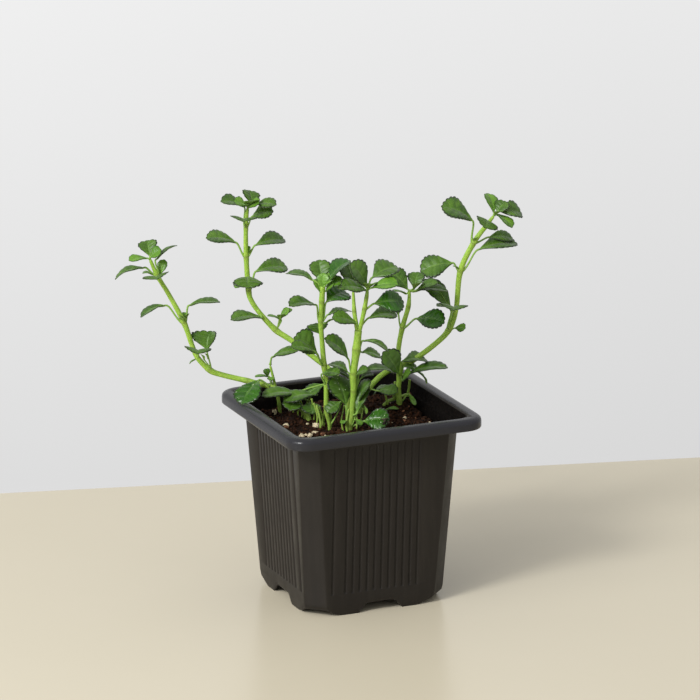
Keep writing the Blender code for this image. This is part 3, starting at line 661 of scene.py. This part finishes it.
def blade_grid(length, width, droop, fold, rng):
    """Local points (along, across, up) of a blade, by side, station and spread; then the stations."""
    teeth = max(3, round(0.62 * width / MM / TOOTH_PITCH))
    plain = np.linspace(0, TEETH_FROM, 8)[:-1]
    toothed = np.linspace(TEETH_FROM, 1, int((teeth + 0.5) * 6) + 1)
    t = np.concatenate([plain, toothed])
    u_edge = 1 - np.cos(np.pi * t / 2) ** 1.7
    half = width / 2 * WIDEST * u_edge ** BASE_POWER * np.maximum(1 - u_edge, 0) ** TIP_POWER
    half = half + STALK_RADIUS * (1 - u_edge) ** 8
    run, rise = np.gradient(u_edge * length), np.gradient(half)
    size = np.maximum(np.hypot(run, rise), 1e-9)
    phase = np.maximum(t - TEETH_FROM, 0) / (1 - TEETH_FROM) * (teeth + 0.5)
    scallop = width * TOOTH_DEPTH * (np.abs(np.sin(np.pi * phase)) ** 0.7 - 0.45) * np.minimum(phase * 1.5, 1)
    x_edge = u_edge * length - rise / size * scallop
    y_edge = np.maximum(half + run / size * scallop, 0)
    x_edge[-1], y_edge[-1] = length + width * TOOTH_DEPTH * 0.5, 0
    x_mid = u_edge * length * (0.72 + 0.18 * t)
    f = np.array(SPREAD)[None, :]
    x = x_mid[:, None] + (x_edge - x_mid)[:, None] * f ** 1.3
    y = y_edge[:, None] * f
    wave = rng.uniform(0.1, 0.45) * width / 13
    turn = rng.uniform(0, 6.3)
    curl = rng.uniform(0.02, 0.07) * width
    lean = rng.uniform(-0.05, 0.05)
    sides = []
    for side in (1, -1):
        u = x / length
        z = BLADE_ARCH * length * 4 * u * (1 - u) - droop * u * u
        z = z + fold * (np.hypot(y, FOLD_SOFT) - FOLD_SOFT) + lean * side * y
        z = z - curl * f ** 4 * np.sin(np.pi * np.clip(u, 0, 1)) ** 0.5
        z = z + wave * np.sin(8 * u + turn * side) * f * f
        z = z + QUILT * width * np.sin(np.pi * t * VEINS)[:, None] ** 2 * 4 * f * (1 - f)
        z = z - GROOVE_DEEP * np.exp(-(y / GROOVE_WIDE) ** 2) * np.clip(1.1 - u, 0, 1)
        sides.append(np.stack([x, side * y, z], axis=-1))
    return sides, t


def leaf_start(spec, fold):
    """What a leaf and its drops share: the blade's start, unit vectors, length and grid, tone and rng."""
    shoot, point, petiole, blade, width, roll, droop = spec
    rng = random.Random(f"{shoot} {point} {blade} 0")
    tone = rng.random()
    run = turned_way(*blade)
    joint = plant(*STEMS[shoot][point][:3]) + turned_way(*petiole)
    sides, t = blade_grid(run.length, width * MM, droop * MM, fold, rng)
    return joint, leaf_frame(run, roll), run.length, sides, t, tone, rng


def leaf(shape, spec, fold):
    """One leaf: a blade with two faces and a toothed edge, and a stalk that runs on as the midrib."""
    joint, (along, side, face), length, sides, t, tone, _ = leaf_start(spec, fold)
    basis = np.array([along, side, face])
    rows, cols = len(t), len(SPREAD)
    for grid in sides:
        flat = grid.reshape(-1, 3)
        spread = np.tile(SPREAD, rows)
        values = np.stack([np.repeat(t, cols) * VEINS, spread, flat[:, 0] / length], axis=-1)
        thin = BLADE_THICK * (1 - 0.45 * spread ** 3) / 2
        faces = []
        for i in range(rows - 1):
            for j in range(cols - 1):
                a = i * cols + j
                faces.append((a, a + cols, a + cols + 1, a + 1))
        count = rows * cols
        points, kinds = [], []
        for below in (0, 1):
            lifted = flat.copy()
            lifted[:, 2] += thin * (1 - 2 * below)
            points.append(np.array(joint) + lifted @ basis)
            kinds.append(np.tile((below, 0, tone), (count, 1)))
        turned = [tuple(i + count for i in f[::-1]) for f in faces]
        rim = []
        for i in range(rows - 1):
            a = i * cols + cols - 1
            rim.append((a, a + cols, a + cols + count, a + count))
        blade = np.tile(values, (2, 1))
        shape.add(np.vstack(points), faces + turned + rim, blade=blade, kind=np.vstack(kinds))
    stalk(shape, *spec[:2], joint, along, face, length, tone)


def stalk(shape, shoot, point, joint, along, face, length, tone):
    """A leaf's stalk: out of the stem, round to the blade's base and on below it, thinning away."""
    places = [plant(*row[:3]) for row in STEMS[shoot]]
    node, radius = places[point], STEMS[shoot][point][3] * MM / 2
    stem_way = (places[min(point + 1, len(places) - 1)] - places[max(point - 1, 0)]).normalized()
    reach = joint - node
    outward = reach - stem_way * reach.dot(stem_way)
    heading = reach if point == len(places) - 1 or outward.length < 0.3 * MM else outward
    heading = heading.normalized()
    start = node + heading * radius * 0.55
    free = max((joint - start).length, 0.5 * MM)
    leave = (heading * 0.35 + reach.normalized()).normalized()
    first = bezier((start, start + leave * free * 0.35, joint - along * free * 0.22, joint), 9)
    rest = []
    for share in MIDRIB:
        lift = BLADE_ARCH * length * 4 * share * (1 - share) - BLADE_THICK * 0.9
        rest.append(joint + along * (length * share) + face * lift)
    path = np.vstack([first, np.array(rest)])
    slim = min(1.0, 0.45 + length / (26 * MM))
    points, faces, _ = sweep(path, [STALK_RADIUS * slim * r for r in STALK_SWELL], STALK_SIDES)
    kinds = [(0.6, green, tone) for green in STALK_GREEN for _ in range(STALK_SIDES)]
    shape.add(points, faces, blade=np.tile((0, 0.5, 0), (len(points), 1)), kind=kinds)


def leaf_specs():
    """The large leaves by name, each with the shoot that it grows from."""
    named = {}
    for group, rows in LEAVES.items():
        shoot = "centre" if group == "low" else group
        for number, row in enumerate(rows, 1):
            named[f"{group}_{number}"] = (shoot, *row)
    return named


def build_leaves():
    for name, spec in leaf_specs().items():
        shape = Shape()
        leaf(shape, spec, FOLDS.get(name, USUAL_FOLD))
        material = LEAF_FRESH if name in FRESH else LEAF_GLOSSY if name in GLOSSY else LEAF_DEEP
        slot = "leaf_young" if name in FRESH else "leaf_green"
        piece = shape.piece("leaf_blade_" + name, material, slot, weld=LEAF_WELD)
        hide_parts("leaf_" + name)


def build_side_leaves():
    """The small leaves, in two pieces to a shoot: the narrow ones are young and bright."""
    for group, shoots in SIDE_LEAVES.items():
        specs = [(shoot, *row) for shoot, rows in shoots.items() for row in rows]
        for fresh in (False, True):
            shape = Shape()
            for spec in specs:
                if (spec[4] < YOUNG_WIDTH) == fresh:
                    leaf(shape, spec, SMALL_FOLD)
            if shape.points:
                material, slot = (LEAF_FRESH, "leaf_young") if fresh else (LEAF_DEEP, "leaf_green")
                age = "young_leaves_" if fresh else "side_leaves_"
                shape.piece(age + group, material, slot, weld=LEAF_WELD)


def smooth_route(points, step):
    """Points on a Catmull-Rom curve through (place, radius) points, each with its radius and distance run."""
    route, last, run = [], len(points) - 1, 0.0
    for i in range(last):
        a, b, c, d = (points[max(0, min(last, k))] for k in (i - 1, i, i + 1, i + 2))
        length = (c[0] - b[0]).length
        steps = max(1, round(length / step))
        for k in range(steps):
            t = k / steps
            place = 0.5 * (2 * b[0] + (c[0] - a[0]) * t + (2 * a[0] - 5 * b[0] + 4 * c[0] - d[0]) * t * t
                           + (3 * b[0] - a[0] - 3 * c[0] + d[0]) * t ** 3)
            route.append((place, b[1] + (c[1] - b[1]) * t, run + length * t))
        run += length
    route.append((points[-1][0], points[-1][1], run))
    return route


def skin_of(angles, route, sides):
    """Where each point of a tube is on its skin: round it, and along it in mm."""
    runs = np.repeat([r[2] for r in route], sides) / MM
    return np.stack([np.cos(angles), np.sin(angles), runs], axis=-1)


# Living stems are a little plumper than their solids. The centre branches start inside the stem that forks.
PLUMP, STEM_SIDES = 1.10, 14
STEM_STEP = 0.8 * MM
# Stems are brownest at this height and below, and quite green this much higher, in mm.
BROWN_FROM, BROWN_REACH = 84, 22
# A node is a narrow ring on a broader swelling.
RING_WIDE, SWELL_WIDE = 0.8 * MM, 1.9 * MM
FORKS = {"centre_left": (3.6, -7, 134.5, 1.9), "centre_right": (4.2, -7, 134.5, 1.9)}


def build_stems():
    for shoot, rows in STEMS.items():
        if shoot in FORKS:
            rows = [FORKS[shoot]] + rows
        points = [(plant(x, y, z), thick * MM / 2) for x, y, z, thick in rows]
        route = smooth_route(points, STEM_STEP)
        centres = [plant(*STEMS[shoot][n][:3]) for n in NODES[shoot]]
        path, radii, rings = [], [], []
        for place, radius, _ in route:
            near = min((place - c).length for c in centres)
            ring = math.exp(-(near / RING_WIDE) ** 2)
            swell = 1 + 0.16 * math.exp(-(near / SWELL_WIDE) ** 2) - 0.05 * ring
            swell *= 1 + 0.03 * noise.noise(place * 180)
            path.append(place)
            radii.append(radius * swell * PLUMP)
            rings.append(ring)
        radii[-1] *= 0.4
        radii[-2] *= 0.8
        shape = Shape()
        tube, faces, angles = sweep(path, radii, STEM_SIDES, ridge=0.025)
        marks = []
        for place, ring in zip(path, rings):
            foot = 1 - min(max((place.z / MM - BROWN_FROM) / BROWN_REACH, 0), 1)
            marks += [(ring, foot, 0)] * STEM_SIDES
        shape.add(tube, faces, skin=skin_of(angles, route, STEM_SIDES), mark=marks)
        piece = shape.piece("shoot_" + shoot, STEM_SKIN, "stem_green")
        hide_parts("stem_" + shoot)


# Short stalks, cut runners and surface roots round the stems: radius, then (across, deep, up), all in mm.
STALKS = (
    (0.45, [(-28.5, 16, 84), (-28.9, 15, 92), (-30.5, 13, 97)]),
    (0.40, [(-26.5, 14, 84), (-26.1, 13, 91), (-28.1, 12, 96)]),
    (0.48, [(-24.5, 12, 84), (-23.8, 11, 91), (-25.4, 10, 96)]),
    (0.42, [(-22.7, 10, 84), (-22.9, 9, 90), (-20.6, 8, 97)]),
    (0.45, [(-20.8, 9, 84), (-21.6, 8, 91), (-19.8, 7, 98)]),
    (0.50, [(-18.6, 5, 84), (-17.9, 4, 90), (-19.3, 3, 98)]),
    (0.45, [(-17.4, -2, 84), (-16.4, -2, 90), (-18.2, -1, 97)]),
    (0.55, [(-15.3, -8, 83), (-14.9, -7, 89), (-16.8, -5, 97)]),
    (0.42, [(-14.6, -5, 84), (-13.8, -4, 90), (-15.6, -4, 96)]),
    (0.40, [(-12.8, -3, 84), (-13.2, -3, 91), (-11.6, -3, 98)]),
    (0.42, [(-9.5, -4, 84), (-9.9, -4, 92), (-11.2, -5, 99)]),
    (0.62, [(-1.3, -10, 83), (-2.1, -9.8, 89), (-0.8, -8.6, 96)]),
    (0.45, [(-3.6, -7, 84), (-4.5, -6.5, 90), (-3, -5, 97)]),
    (0.45, [(2.2, -9.6, 83), (3.2, -8.8, 89), (2.2, -7, 95)]),
    (0.42, [(4.6, -6, 84), (5.3, -5, 90), (6.2, -3, 95)]),
    (0.85, [(16.5, 24, 88), (19, 25.5, 90), (23.5, 27.5, 91), (28.6, 30.5, 91.8)]),
    (0.50, [(16.5, 22, 97), (17.8, 22, 93), (18.6, 23, 89)]),
    (0.50, [(18, 25, 96), (21.3, 26, 94), (21.6, 26, 90)]),
    (0.65, [(29.8, 30, 99.8), (29.3, 30, 95), (28.6, 30, 91)]),
    (0.60, [(22.3, 26, 100), (22.6, 26, 94), (23.2, 27, 90.5)]),
)

ROOT_SIDES = 10
# As brown as a stem's foot, and a little ringed.
ROOT_MARK = (0.15, 1.0, 0)


def build_stalks():
    shape = Shape()
    for radius, rows in STALKS:
        route = smooth_route([(plant(*row), radius * MM) for row in rows], STEM_STEP)
        radii = [r[1] * (1 + 0.1 * noise.noise(r[0] * 400)) for r in route]
        tube, faces, angles = sweep([r[0] for r in route], radii, ROOT_SIDES)
        mark = np.tile(ROOT_MARK, (len(tube), 1))
        shape.add(tube, faces, skin=skin_of(angles, route, ROOT_SIDES), mark=mark)
    shape.piece("root_stalks", STEM_SKIN, "stem_green")


# Drops on each low leaf, and the dried patch's lumps: share of the way to the tip, column of the blade, size.
DEW_COUNTS = {"low_2": 24, "low_1": 18, "left_8": 7}
BLEMISH = ((0.86, 3, 2.1), (0.93, 2, 1.7), (0.79, 4, 1.5), (0.9, 5, 1.3), (0.84, 1, 1.2))


def build_dew():
    """Drops on the low leaves, their pale colour a painted glint of water, and one brown blemish."""
    drops, scars = Shape(), Shape()
    for name, count in DEW_COUNTS.items():
        joint, (along, side, face), _, sides, t, _, rng = leaf_start(leaf_specs()[name], FOLDS[name])
        for _ in range(count):
            grid = sides[rng.randrange(2)]
            x, y, z = grid[rng.randrange(8, len(t) - 4)][rng.randrange(1, 6)]
            size = rng.uniform(0.12, 0.34) * MM
            centre = joint + along * x + side * y + face * (z + BLADE_THICK / 2)
            lump(drops, rng, centre, size, 0.05, flat=0.7)
        for share, spread, size in BLEMISH if name == "low_2" else ():
            x, y, z = sides[1][int(share * (len(t) - 1))][spread]
            centre = joint + along * x + side * y + face * (z + BLADE_THICK * 0.2)
            lump(scars, rng, centre, size * MM, 0.6, flat=0.4)
    drops.piece("dew_drops", DEW_GLINT, "leaf_green")
    scars.piece("leaf_blemish", SCAR, "leaf_green")


# ---------------------------------------------------------------- pot

INNER_CUT = CHAMFER_SHARE * WALL
# How far in from the inner wall the painted-shade sheet lies, in mm.
INNER_SHADE_OFF = 0.12
# Foot rings: (half side, chamfer, height over the arches), from inside to outside. Then the heights of the
# rings up the wall, close together where the flutes run out.
FOOT_RINGS = ((FOOT_HALF - WALL + 0.15, CHAMFER_FOOT - INNER_CUT, 0.35),
              (FOOT_HALF - WALL + 0.35, CHAMFER_FOOT - INNER_CUT, 0.0),
              (FOOT_HALF - 0.30, CHAMFER_FOOT, 0.0), (FOOT_HALF, CHAMFER_FOOT, 0.4))
WALL_LEVELS = (6.2, 9, 10.4, 11.0, 11.15, 11.4, 11.8, 12.2, 12.6, 16, 24, 34, 44, 54, 64, 74, 82,
               86.1, 86.6, 87.0, 87.3, 87.5, 88.2, 89.0)
# Across one flute: (place in half widths, share of the depth).
FLUTE_PROFILE = ((-1.25, 0.0), (-0.85, 0.30), (-0.5, 0.82), (0, 1.0), (0.5, 0.82), (0.85, 0.30), (1.25, 0.0))
# Rim rings: (half side, corner radius, height), up from the shoulder, round the turned edge and down inside.
RIM = ((43.3, 7.9, 90.4), (44.4, 7.6, 92.4), (45.2, 7.4, 94.0), (46.1, 7.4, 95.3), (49.4, 9.0, 95.4),
       (50.1, 9.4, 95.0), (50.35, 9.6, 94.2), (50.4, 9.6, 91.3), (50.55, 9.7, 91.0), (51.35, 10.6, 91.0),
       (51.55, 10.8, 91.25), (51.6, 10.8, 92.0), (51.6, 10.8, 94.2), (51.48, 10.8, 95.0), (51.1, 10.6, 95.7),
       (50.5, 10.4, 96.2), (49.7, 10.0, 96.5), (48.8, 9.3, 96.6), (46.8, 7.8, 96.6), (46.0, 7.3, 96.45),
       (45.4, 7.0, 96.1), (45.1, 6.9, 95.5), (44.2, 7.0, 93.6), (43.2, 7.2, 91.6), (42.7, 7.3, 91.0),
       (41.9, 7.3, 90.9), (41.6, 7.3, 90.6))


def chamfer_corner(half, chamfer):
    """Seven points round a cut corner whose two edges are slightly rounded."""
    first, second = Vector((half, half - chamfer)), Vector((half - chamfer, half))
    slope = (second - first).normalized()
    soft, blunt = 0.55, 0.10
    one = [first - Vector((0, soft)), first - Vector((blunt, 0)), first + slope * soft]
    two = [second - slope * soft, second - Vector((0, blunt)), second - Vector((soft, 0))]
    return one + [(first + second) / 2] + two


def round_corner(half, radius):
    centre = half - radius
    turns = [i / 6 * math.pi / 2 for i in range(7)]
    return [Vector((centre + radius * math.cos(a), centre + radius * math.sin(a))) for a in turns]


def flute_stations():
    """Places along one wall where the outline needs a point, each with its share of the flute's depth."""
    return sorted((centre + FLUTE_HALF * s, share) for centre in FLUTES for s, share in FLUTE_PROFILE)


def pot_ring(half, corner, up, depth=0.0, rounded=True, foot=False):
    """One closed ring round the pot, always with as many points; foot lifts it over the arches."""
    ring = []
    for quarter in range(4):
        turn = Matrix.Rotation(quarter * math.pi / 2, 2)
        side = 1 if quarter % 2 else -1
        points = round_corner(half, corner) if rounded else chamfer_corner(half, corner)
        marks = [(side * along, share) for along, share in flute_stations()]
        # A wall runs from this corner to the next one, so its far end comes at the lowest "along".
        for along, share in sorted(marks, reverse=True):
            points.append(Vector((along, half - depth * share)))
        for point in points:
            along = min(abs(point.x), abs(point.y))
            place = turn @ point
            lift = arch_up(along) if foot else 0.0
            ring.append((place.x, place.y, up + lift))
    return ring


def arch_up(along):
    """How far the foot's edge is lifted, at a distance along the wall from its middle."""
    return float(np.interp(along, *zip(*ARCH)))


def wall_half(up):
    return FOOT_HALF + (SHOULDER_HALF - FOOT_HALF) * up / SHOULDER_UP


def wall_chamfer(up):
    return CHAMFER_FOOT + (CHAMFER_SHOULDER - CHAMFER_FOOT) * up / SHOULDER_UP


def flute_depth(up):
    """A flute's depth at a height: it runs out in a quarter round at both ends."""
    low = min(1.0, max(0.0, (up - FLUTE_LOW) / 1.6))
    high = min(1.0, max(0.0, (FLUTE_HIGH - up) / 1.4))
    return FLUTE_DEPTH * math.sqrt(low * (2 - low)) * math.sqrt(high * (2 - high))


def build_pot():
    """The pot as one closed skin: under the base, round the foot, up the wall, over the rim and down."""
    base_top = BASE_UNDER + BASE_THICK
    rings = [pot_ring(wall_half(5) - WALL, CHAMFER_FOOT - INNER_CUT, BASE_UNDER, rounded=False)]
    for half, cut, up in FOOT_RINGS:
        rings.append(pot_ring(half, cut, up, rounded=False, foot=True))
    for up in WALL_LEVELS:
        rings.append(pot_ring(wall_half(up), wall_chamfer(up), up, flute_depth(up), rounded=False))
    for half, corner, up in RIM:
        rings.append(pot_ring(half, corner, up))
    for up in (88.0, 60.0, 30.0, base_top):
        rings.append(pot_ring(wall_half(up) - WALL, wall_chamfer(up) - INNER_CUT, up, rounded=False))
    size = len(rings), len(rings[0])
    shape = Shape()
    shape.add(in_frame(sum(rings, [])), quads(*size) + caps(*size))
    piece = shape.piece("nursery_pot", POT_BLACK, "pot_black_plastic", weld=0.001 * MM)
    drill(piece)
    piece.data.set_sharp_from_angle(angle=math.radians(38))
    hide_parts("pot")


def build_inner_shade():
    """A near-black sheet just inside the pot's inner walls above the soil: painted shade, flecked with pale
    soil.
    """
    levels = [(wall_half(up) - WALL, wall_chamfer(up) - INNER_CUT, up, False) for up in (83.0, 88.0)]
    levels += [(half, corner, up, True) for half, corner, up in RIM[:-7:-1]]
    rings = [pot_ring(half - INNER_SHADE_OFF, corner, up, rounded=rounded) for half, corner, up, rounded in levels]
    faces = [face[::-1] for face in quads(len(rings), len(rings[0]))]
    shape = Shape()
    shape.add(in_frame(sum(rings, [])), faces)
    shape.piece("painted_inner_shade", INNER_SHADE, "potting_mix")


def drill(piece):
    """Five round drain holes through the base."""
    places = [(0, 0)] + [(DRAIN_REACH * sx, DRAIN_REACH * sy) for sx in (-1, 1) for sy in (-1, 1)]
    built = bmesh.new()
    for x, y in places:
        where = Matrix.Translation(POT_AXIS + Vector((x, y, BASE_UNDER + BASE_THICK / 2)) * MM)
        bmesh.ops.create_cone(built, cap_ends=True, segments=32, radius1=DRAIN_RADIUS * MM,
                              radius2=DRAIN_RADIUS * MM, depth=4 * BASE_THICK * MM, matrix=where)
    mesh = bpy.data.meshes.new("drills")
    built.to_mesh(mesh)
    built.free()
    cutter = linked("drills", mesh)
    step = piece.modifiers.new("drains", "BOOLEAN")
    step.operation = "DIFFERENCE"
    step.solver = "EXACT"
    step.object = cutter
    graph = bpy.context.evaluated_depsgraph_get()
    cut = bpy.data.meshes.new_from_object(piece.evaluated_get(graph))
    piece.modifiers.clear()
    piece.data = cut
    bpy.data.objects.remove(cutter)


# ---------------------------------------------------------------- soil

SOIL_TOP = 85.2
SOIL_HALF, SOIL_CUT = 40.7, 7.0
SOIL_FOOT = BASE_UNDER + BASE_THICK + 0.2
SOIL_FOOT_HALF, SOIL_FOOT_CUT = 35.9, 8.4
SOIL_CELLS = 96
# The soil is heaped up round the foot of the right stem.
MOUND = (plant(25, 29, 0) - POT_AXIS) / MM


def soil_up(x, y):
    """Height of the soil in mm, at a place in the pot's frame in mm."""
    where = Vector((x, y, 0))
    lumps = 1.1 * noise.noise(where / 13) + 0.8 * noise.noise(where / 5) + 0.35 * noise.noise(where / 2)
    edge = max(0.0, max(abs(x), abs(y)) - (SOIL_HALF - 4)) / 4
    mound = 4.0 * math.exp(-((x - MOUND.x) ** 2 + (y - MOUND.y) ** 2) / 90)
    return SOIL_TOP + lumps + mound + 0.03 * y - 1.6 * edge * edge


def in_pot(x, y, margin=0.0):
    half = SOIL_HALF - margin
    return max(abs(x), abs(y)) <= half and abs(x) + abs(y) <= 2 * half - SOIL_CUT


def soil_grid(cells, half, cut):
    """A square grid of places, pulled in where the pot's corners are cut."""
    places = []
    for i in range(cells + 1):
        for j in range(cells + 1):
            x, y = ((2 * k / cells - 1) * half for k in (i, j))
            over = abs(x) + abs(y) - (2 * half - cut)
            if over > 0:
                x, y = x - math.copysign(over / 2, x), y - math.copysign(over / 2, y)
            places.append((x, y))
    return places


def build_soil():
    cells = SOIL_CELLS
    shape = Shape()
    rows = [(x, y, soil_up(x, y)) for x, y in soil_grid(cells, SOIL_HALF, SOIL_CUT)]
    top = len(rows)
    rows += [(x, y, SOIL_FOOT) for x, y in soil_grid(cells, SOIL_FOOT_HALF, SOIL_FOOT_CUT)]
    faces = []
    for i in range(cells):
        for j in range(cells):
            a = i * (cells + 1) + j
            quad = (a, a + cells + 1, a + cells + 2, a + 1)
            faces.append(quad)
            faces.append(tuple(k + top for k in quad[::-1]))
    border = list(range(cells + 1))
    border += [i * (cells + 1) + cells for i in range(1, cells + 1)]
    border += [cells * (cells + 1) + j for j in range(cells - 1, -1, -1)]
    border += [i * (cells + 1) for i in range(cells - 1, 0, -1)]
    for a, b in zip(border, border[1:] + border[:1]):
        faces.append((a, b, b + top, a + top))
    shape.add(in_frame(rows), faces)
    piece = shape.piece("soil_bed", EARTH, "potting_mix", weld=0.001 * MM)
    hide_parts("soil")


def lump(shape, rng, centre, size, rough, flat=1.0):
    """One irregular grain: a small icosphere pushed in and out by noise, squashed and turned."""
    built = bmesh.new()
    bmesh.ops.create_icosphere(built, subdivisions=1 if size < 1.3 * MM else 2, radius=1.0)
    turn = Matrix.Rotation(rng.uniform(0, 6.3), 3, "Z") @ Matrix.Rotation(rng.uniform(0, 3.1), 3, "X")
    shift = Vector((rng.uniform(0, 90), rng.uniform(0, 90), rng.uniform(0, 90)))
    stretch = Vector((rng.uniform(0.7, 1.2), rng.uniform(0.6, 1.0), rng.uniform(0.6, 1.0) * flat))
    points = []
    for vert in built.verts:
        broad, fine = (noise.noise(vert.co * scale + shift) for scale in (1.4, 3.1))
        point = vert.co * (1 + rough * broad + rough * 0.6 * fine) * stretch
        points.append(centre + turn @ point * size)
    faces = [[v.index for v in face.verts] for face in built.faces]
    built.free()
    shape.add(points, faces)


def throw(rng):
    return rng.uniform(-SOIL_HALF, SOIL_HALF), rng.uniform(-SOIL_HALF, SOIL_HALF)


def scatter(shape, rng, count, margin, sizes, lift, rough, flat=1.0):
    """Grains strewn over the soil; a throw that lands past the margin is lost."""
    for _ in range(count):
        x, y = throw(rng)
        if in_pot(x, y, margin):
            grain(shape, rng, x, y, rng.uniform(*sizes), lift, rough, flat)


def grain(shape, rng, x, y, size, lift, rough, flat=1.0):
    """One grain on the soil, its middle lifted by a share of its size."""
    up = soil_up(x, y) + size * lift
    lump(shape, rng, POT_AXIS + Vector((x, y, up)) * MM, size * MM, rough, flat)


# Perlite that lies bare on the soil, as (across, deep, size) in the plant's axes, in mm.
BARE = ((-38, 17, 1.8), (-30, 20, 1.2), (-31.8, -4, 1.6), (-24, -20, 1.7), (-20, -20.5, 1.8),
        (-17.5, -15, 1.5), (-17, -6, 2.2), (27, 10, 1.3), (20, 5, 0.9), (39.5, 3, 0.8), (34, 17, 0.9),
        (-22, -18.5, 1.2))
CRUMB_FACES = 90000


def build_crumbs():
    rng = random.Random(7)
    fine, perlite, bark = Shape(), Shape(), Shape()
    while len(fine.faces) < CRUMB_FACES:
        x, y = throw(rng)
        if in_pot(x, y, 0.8):
            size = 0.35 + 1.1 * rng.random() ** 3
            grain(fine, rng, x, y, size, rng.uniform(-0.2, 0.55), 0.7)
    for across, deep, size in BARE:
        place = turned_way(across, deep, 0) / MM
        grain(perlite, rng, place.x, place.y, size, 0.45, 0.45)
    scatter(perlite, rng, 46, 2, (0.35, 1.0), 0.5, 0.45)
    scatter(bark, rng, 60, 2.5, (0.7, 1.9), 0.35, 0.5, flat=0.35)
    lump(bark, rng, plant(29.4, 31, 91.8), 1.3 * MM, 0.3)
    fine.piece("soil_crumbs", CRUMB, "potting_mix")
    perlite.piece("perlite_grains", PERLITE, "potting_mix")
    bark.piece("bark_flakes", BARK, "potting_mix")


# ---------------------------------------------------------------- stage

def build_stage():
    """A plain painted board under the pot, its back edge in sight."""
    away = -way_to(TABLE_TURN, 0)
    run = Vector((away.y, -away.x, 0)) * TABLE_HALF
    middle = POT_AXIS + away * TABLE_BEHIND
    near = middle - away * TABLE_DEEP
    built = bmesh.new()
    face = built.faces.new([built.verts.new(p) for p in (middle - run, near - run, near + run, middle + run)])
    made = bmesh.ops.extrude_face_region(built, geom=[face])
    lowered = [v for v in made["geom"] if isinstance(v, bmesh.types.BMVert)]
    bmesh.ops.translate(built, vec=(0, 0, -TABLE_THICK), verts=lowered)
    bmesh.ops.recalc_face_normals(built, faces=built.faces)
    mesh = bpy.data.meshes.new("table_top")
    built.to_mesh(mesh)
    built.free()
    table = linked("table_top", mesh)
    soft = table.modifiers.new("edge", "BEVEL")
    soft.width = 0.6 * MM
    soft.segments = 3
    s = Shading("painted_board")
    colour = s.mix(s.noise(9, 3), srgb(205, 196, 173), srgb(208, 199, 177))
    s.set(Base_Color=colour, Specular_IOR_Level=0.5, Roughness=s.ease(s.noise(30, 3), 0.3, 0.7, 0.24, 0.27))
    mesh.materials.append(s.material)


ROOM_LIGHT = 0.60
# How the wall's glow changes upwards and to the right: from, to, value at from, value at to.
WALL_RISE = (-0.297, -0.2057, 0.725, 0.865)
WALL_FALL = (0.321, 0.435, 1.0, 0.945)


def build_world():
    """A pale studio: the wall behind brightens a little upwards, and lights less than it glows."""
    world = bpy.data.worlds.new("studio")
    bpy.context.scene.world = world
    world.use_nodes = True
    world.node_tree.nodes.clear()
    n = Nodes(world.node_tree)
    x, _, z = n.split(n.node("TexCoord").outputs["Generated"])
    glow = n.times(n.ease(z, *WALL_RISE, step="LINEAR"), n.ease(x, *WALL_FALL, step="LINEAR"))
    pick = n.node("MixShader")
    n.feed(pick.inputs[0], n.node("LightPath").outputs["Is Camera Ray"])
    for socket, strength in zip(pick.inputs[1:], (ROOM_LIGHT, glow)):
        wall = n.node("Background")
        n.feed(wall.inputs["Color"], (1, 1, 1, 1))
        n.feed(wall.inputs["Strength"], strength)
        n.feed(socket, wall.outputs[0])
    n.feed(n.node("OutputWorld").inputs[0], pick.outputs[0])


# Lights: (name, azimuth, elevation in degrees, side in metres, power in watts).
LIGHTS = (("key", -71, 34, 1.9, 36), ("spark", -66, 36, 0.55, 38))
LIGHT_DISTANCE = 2.6


def build_lights():
    aim = POT_AXIS + Vector((0, 0, 100 * MM))
    for name, azimuth, elevation, side, power in LIGHTS:
        back = way_to(math.radians(azimuth), math.radians(elevation))
        data = bpy.data.lights.new(name, "AREA")
        data.size = side
        data.energy = power
        lamp = linked(name, data)
        lamp.location = aim + back * LIGHT_DISTANCE
        lamp.rotation_euler = (-back).to_track_quat("-Z", "Y").to_euler()


def build_camera():
    back = way_to(CAMERA_AZIMUTH, CAMERA_ELEVATION)
    data = bpy.data.cameras.new("camera")
    data.lens = CAMERA_LENS
    data.sensor_width = 36
    data.clip_end = 50
    camera = linked("camera", data)
    camera.location = CAMERA_TARGET + back * CAMERA_DISTANCE
    turn = (-back).to_track_quat("-Z", "Y").to_matrix() @ Matrix.Rotation(CAMERA_ROLL, 3, "Z")
    camera.rotation_euler = turn.to_euler()
    bpy.context.scene.camera = camera


build_camera()
build_world()
build_lights()
build_stage()
build_pot()
build_inner_shade()
build_soil()
build_crumbs()
build_stems()
build_leaves()
build_side_leaves()
build_stalks()
build_dew()

bpy.context.scene.view_settings.view_transform = "Standard"
bpy.context.view_layer.update()
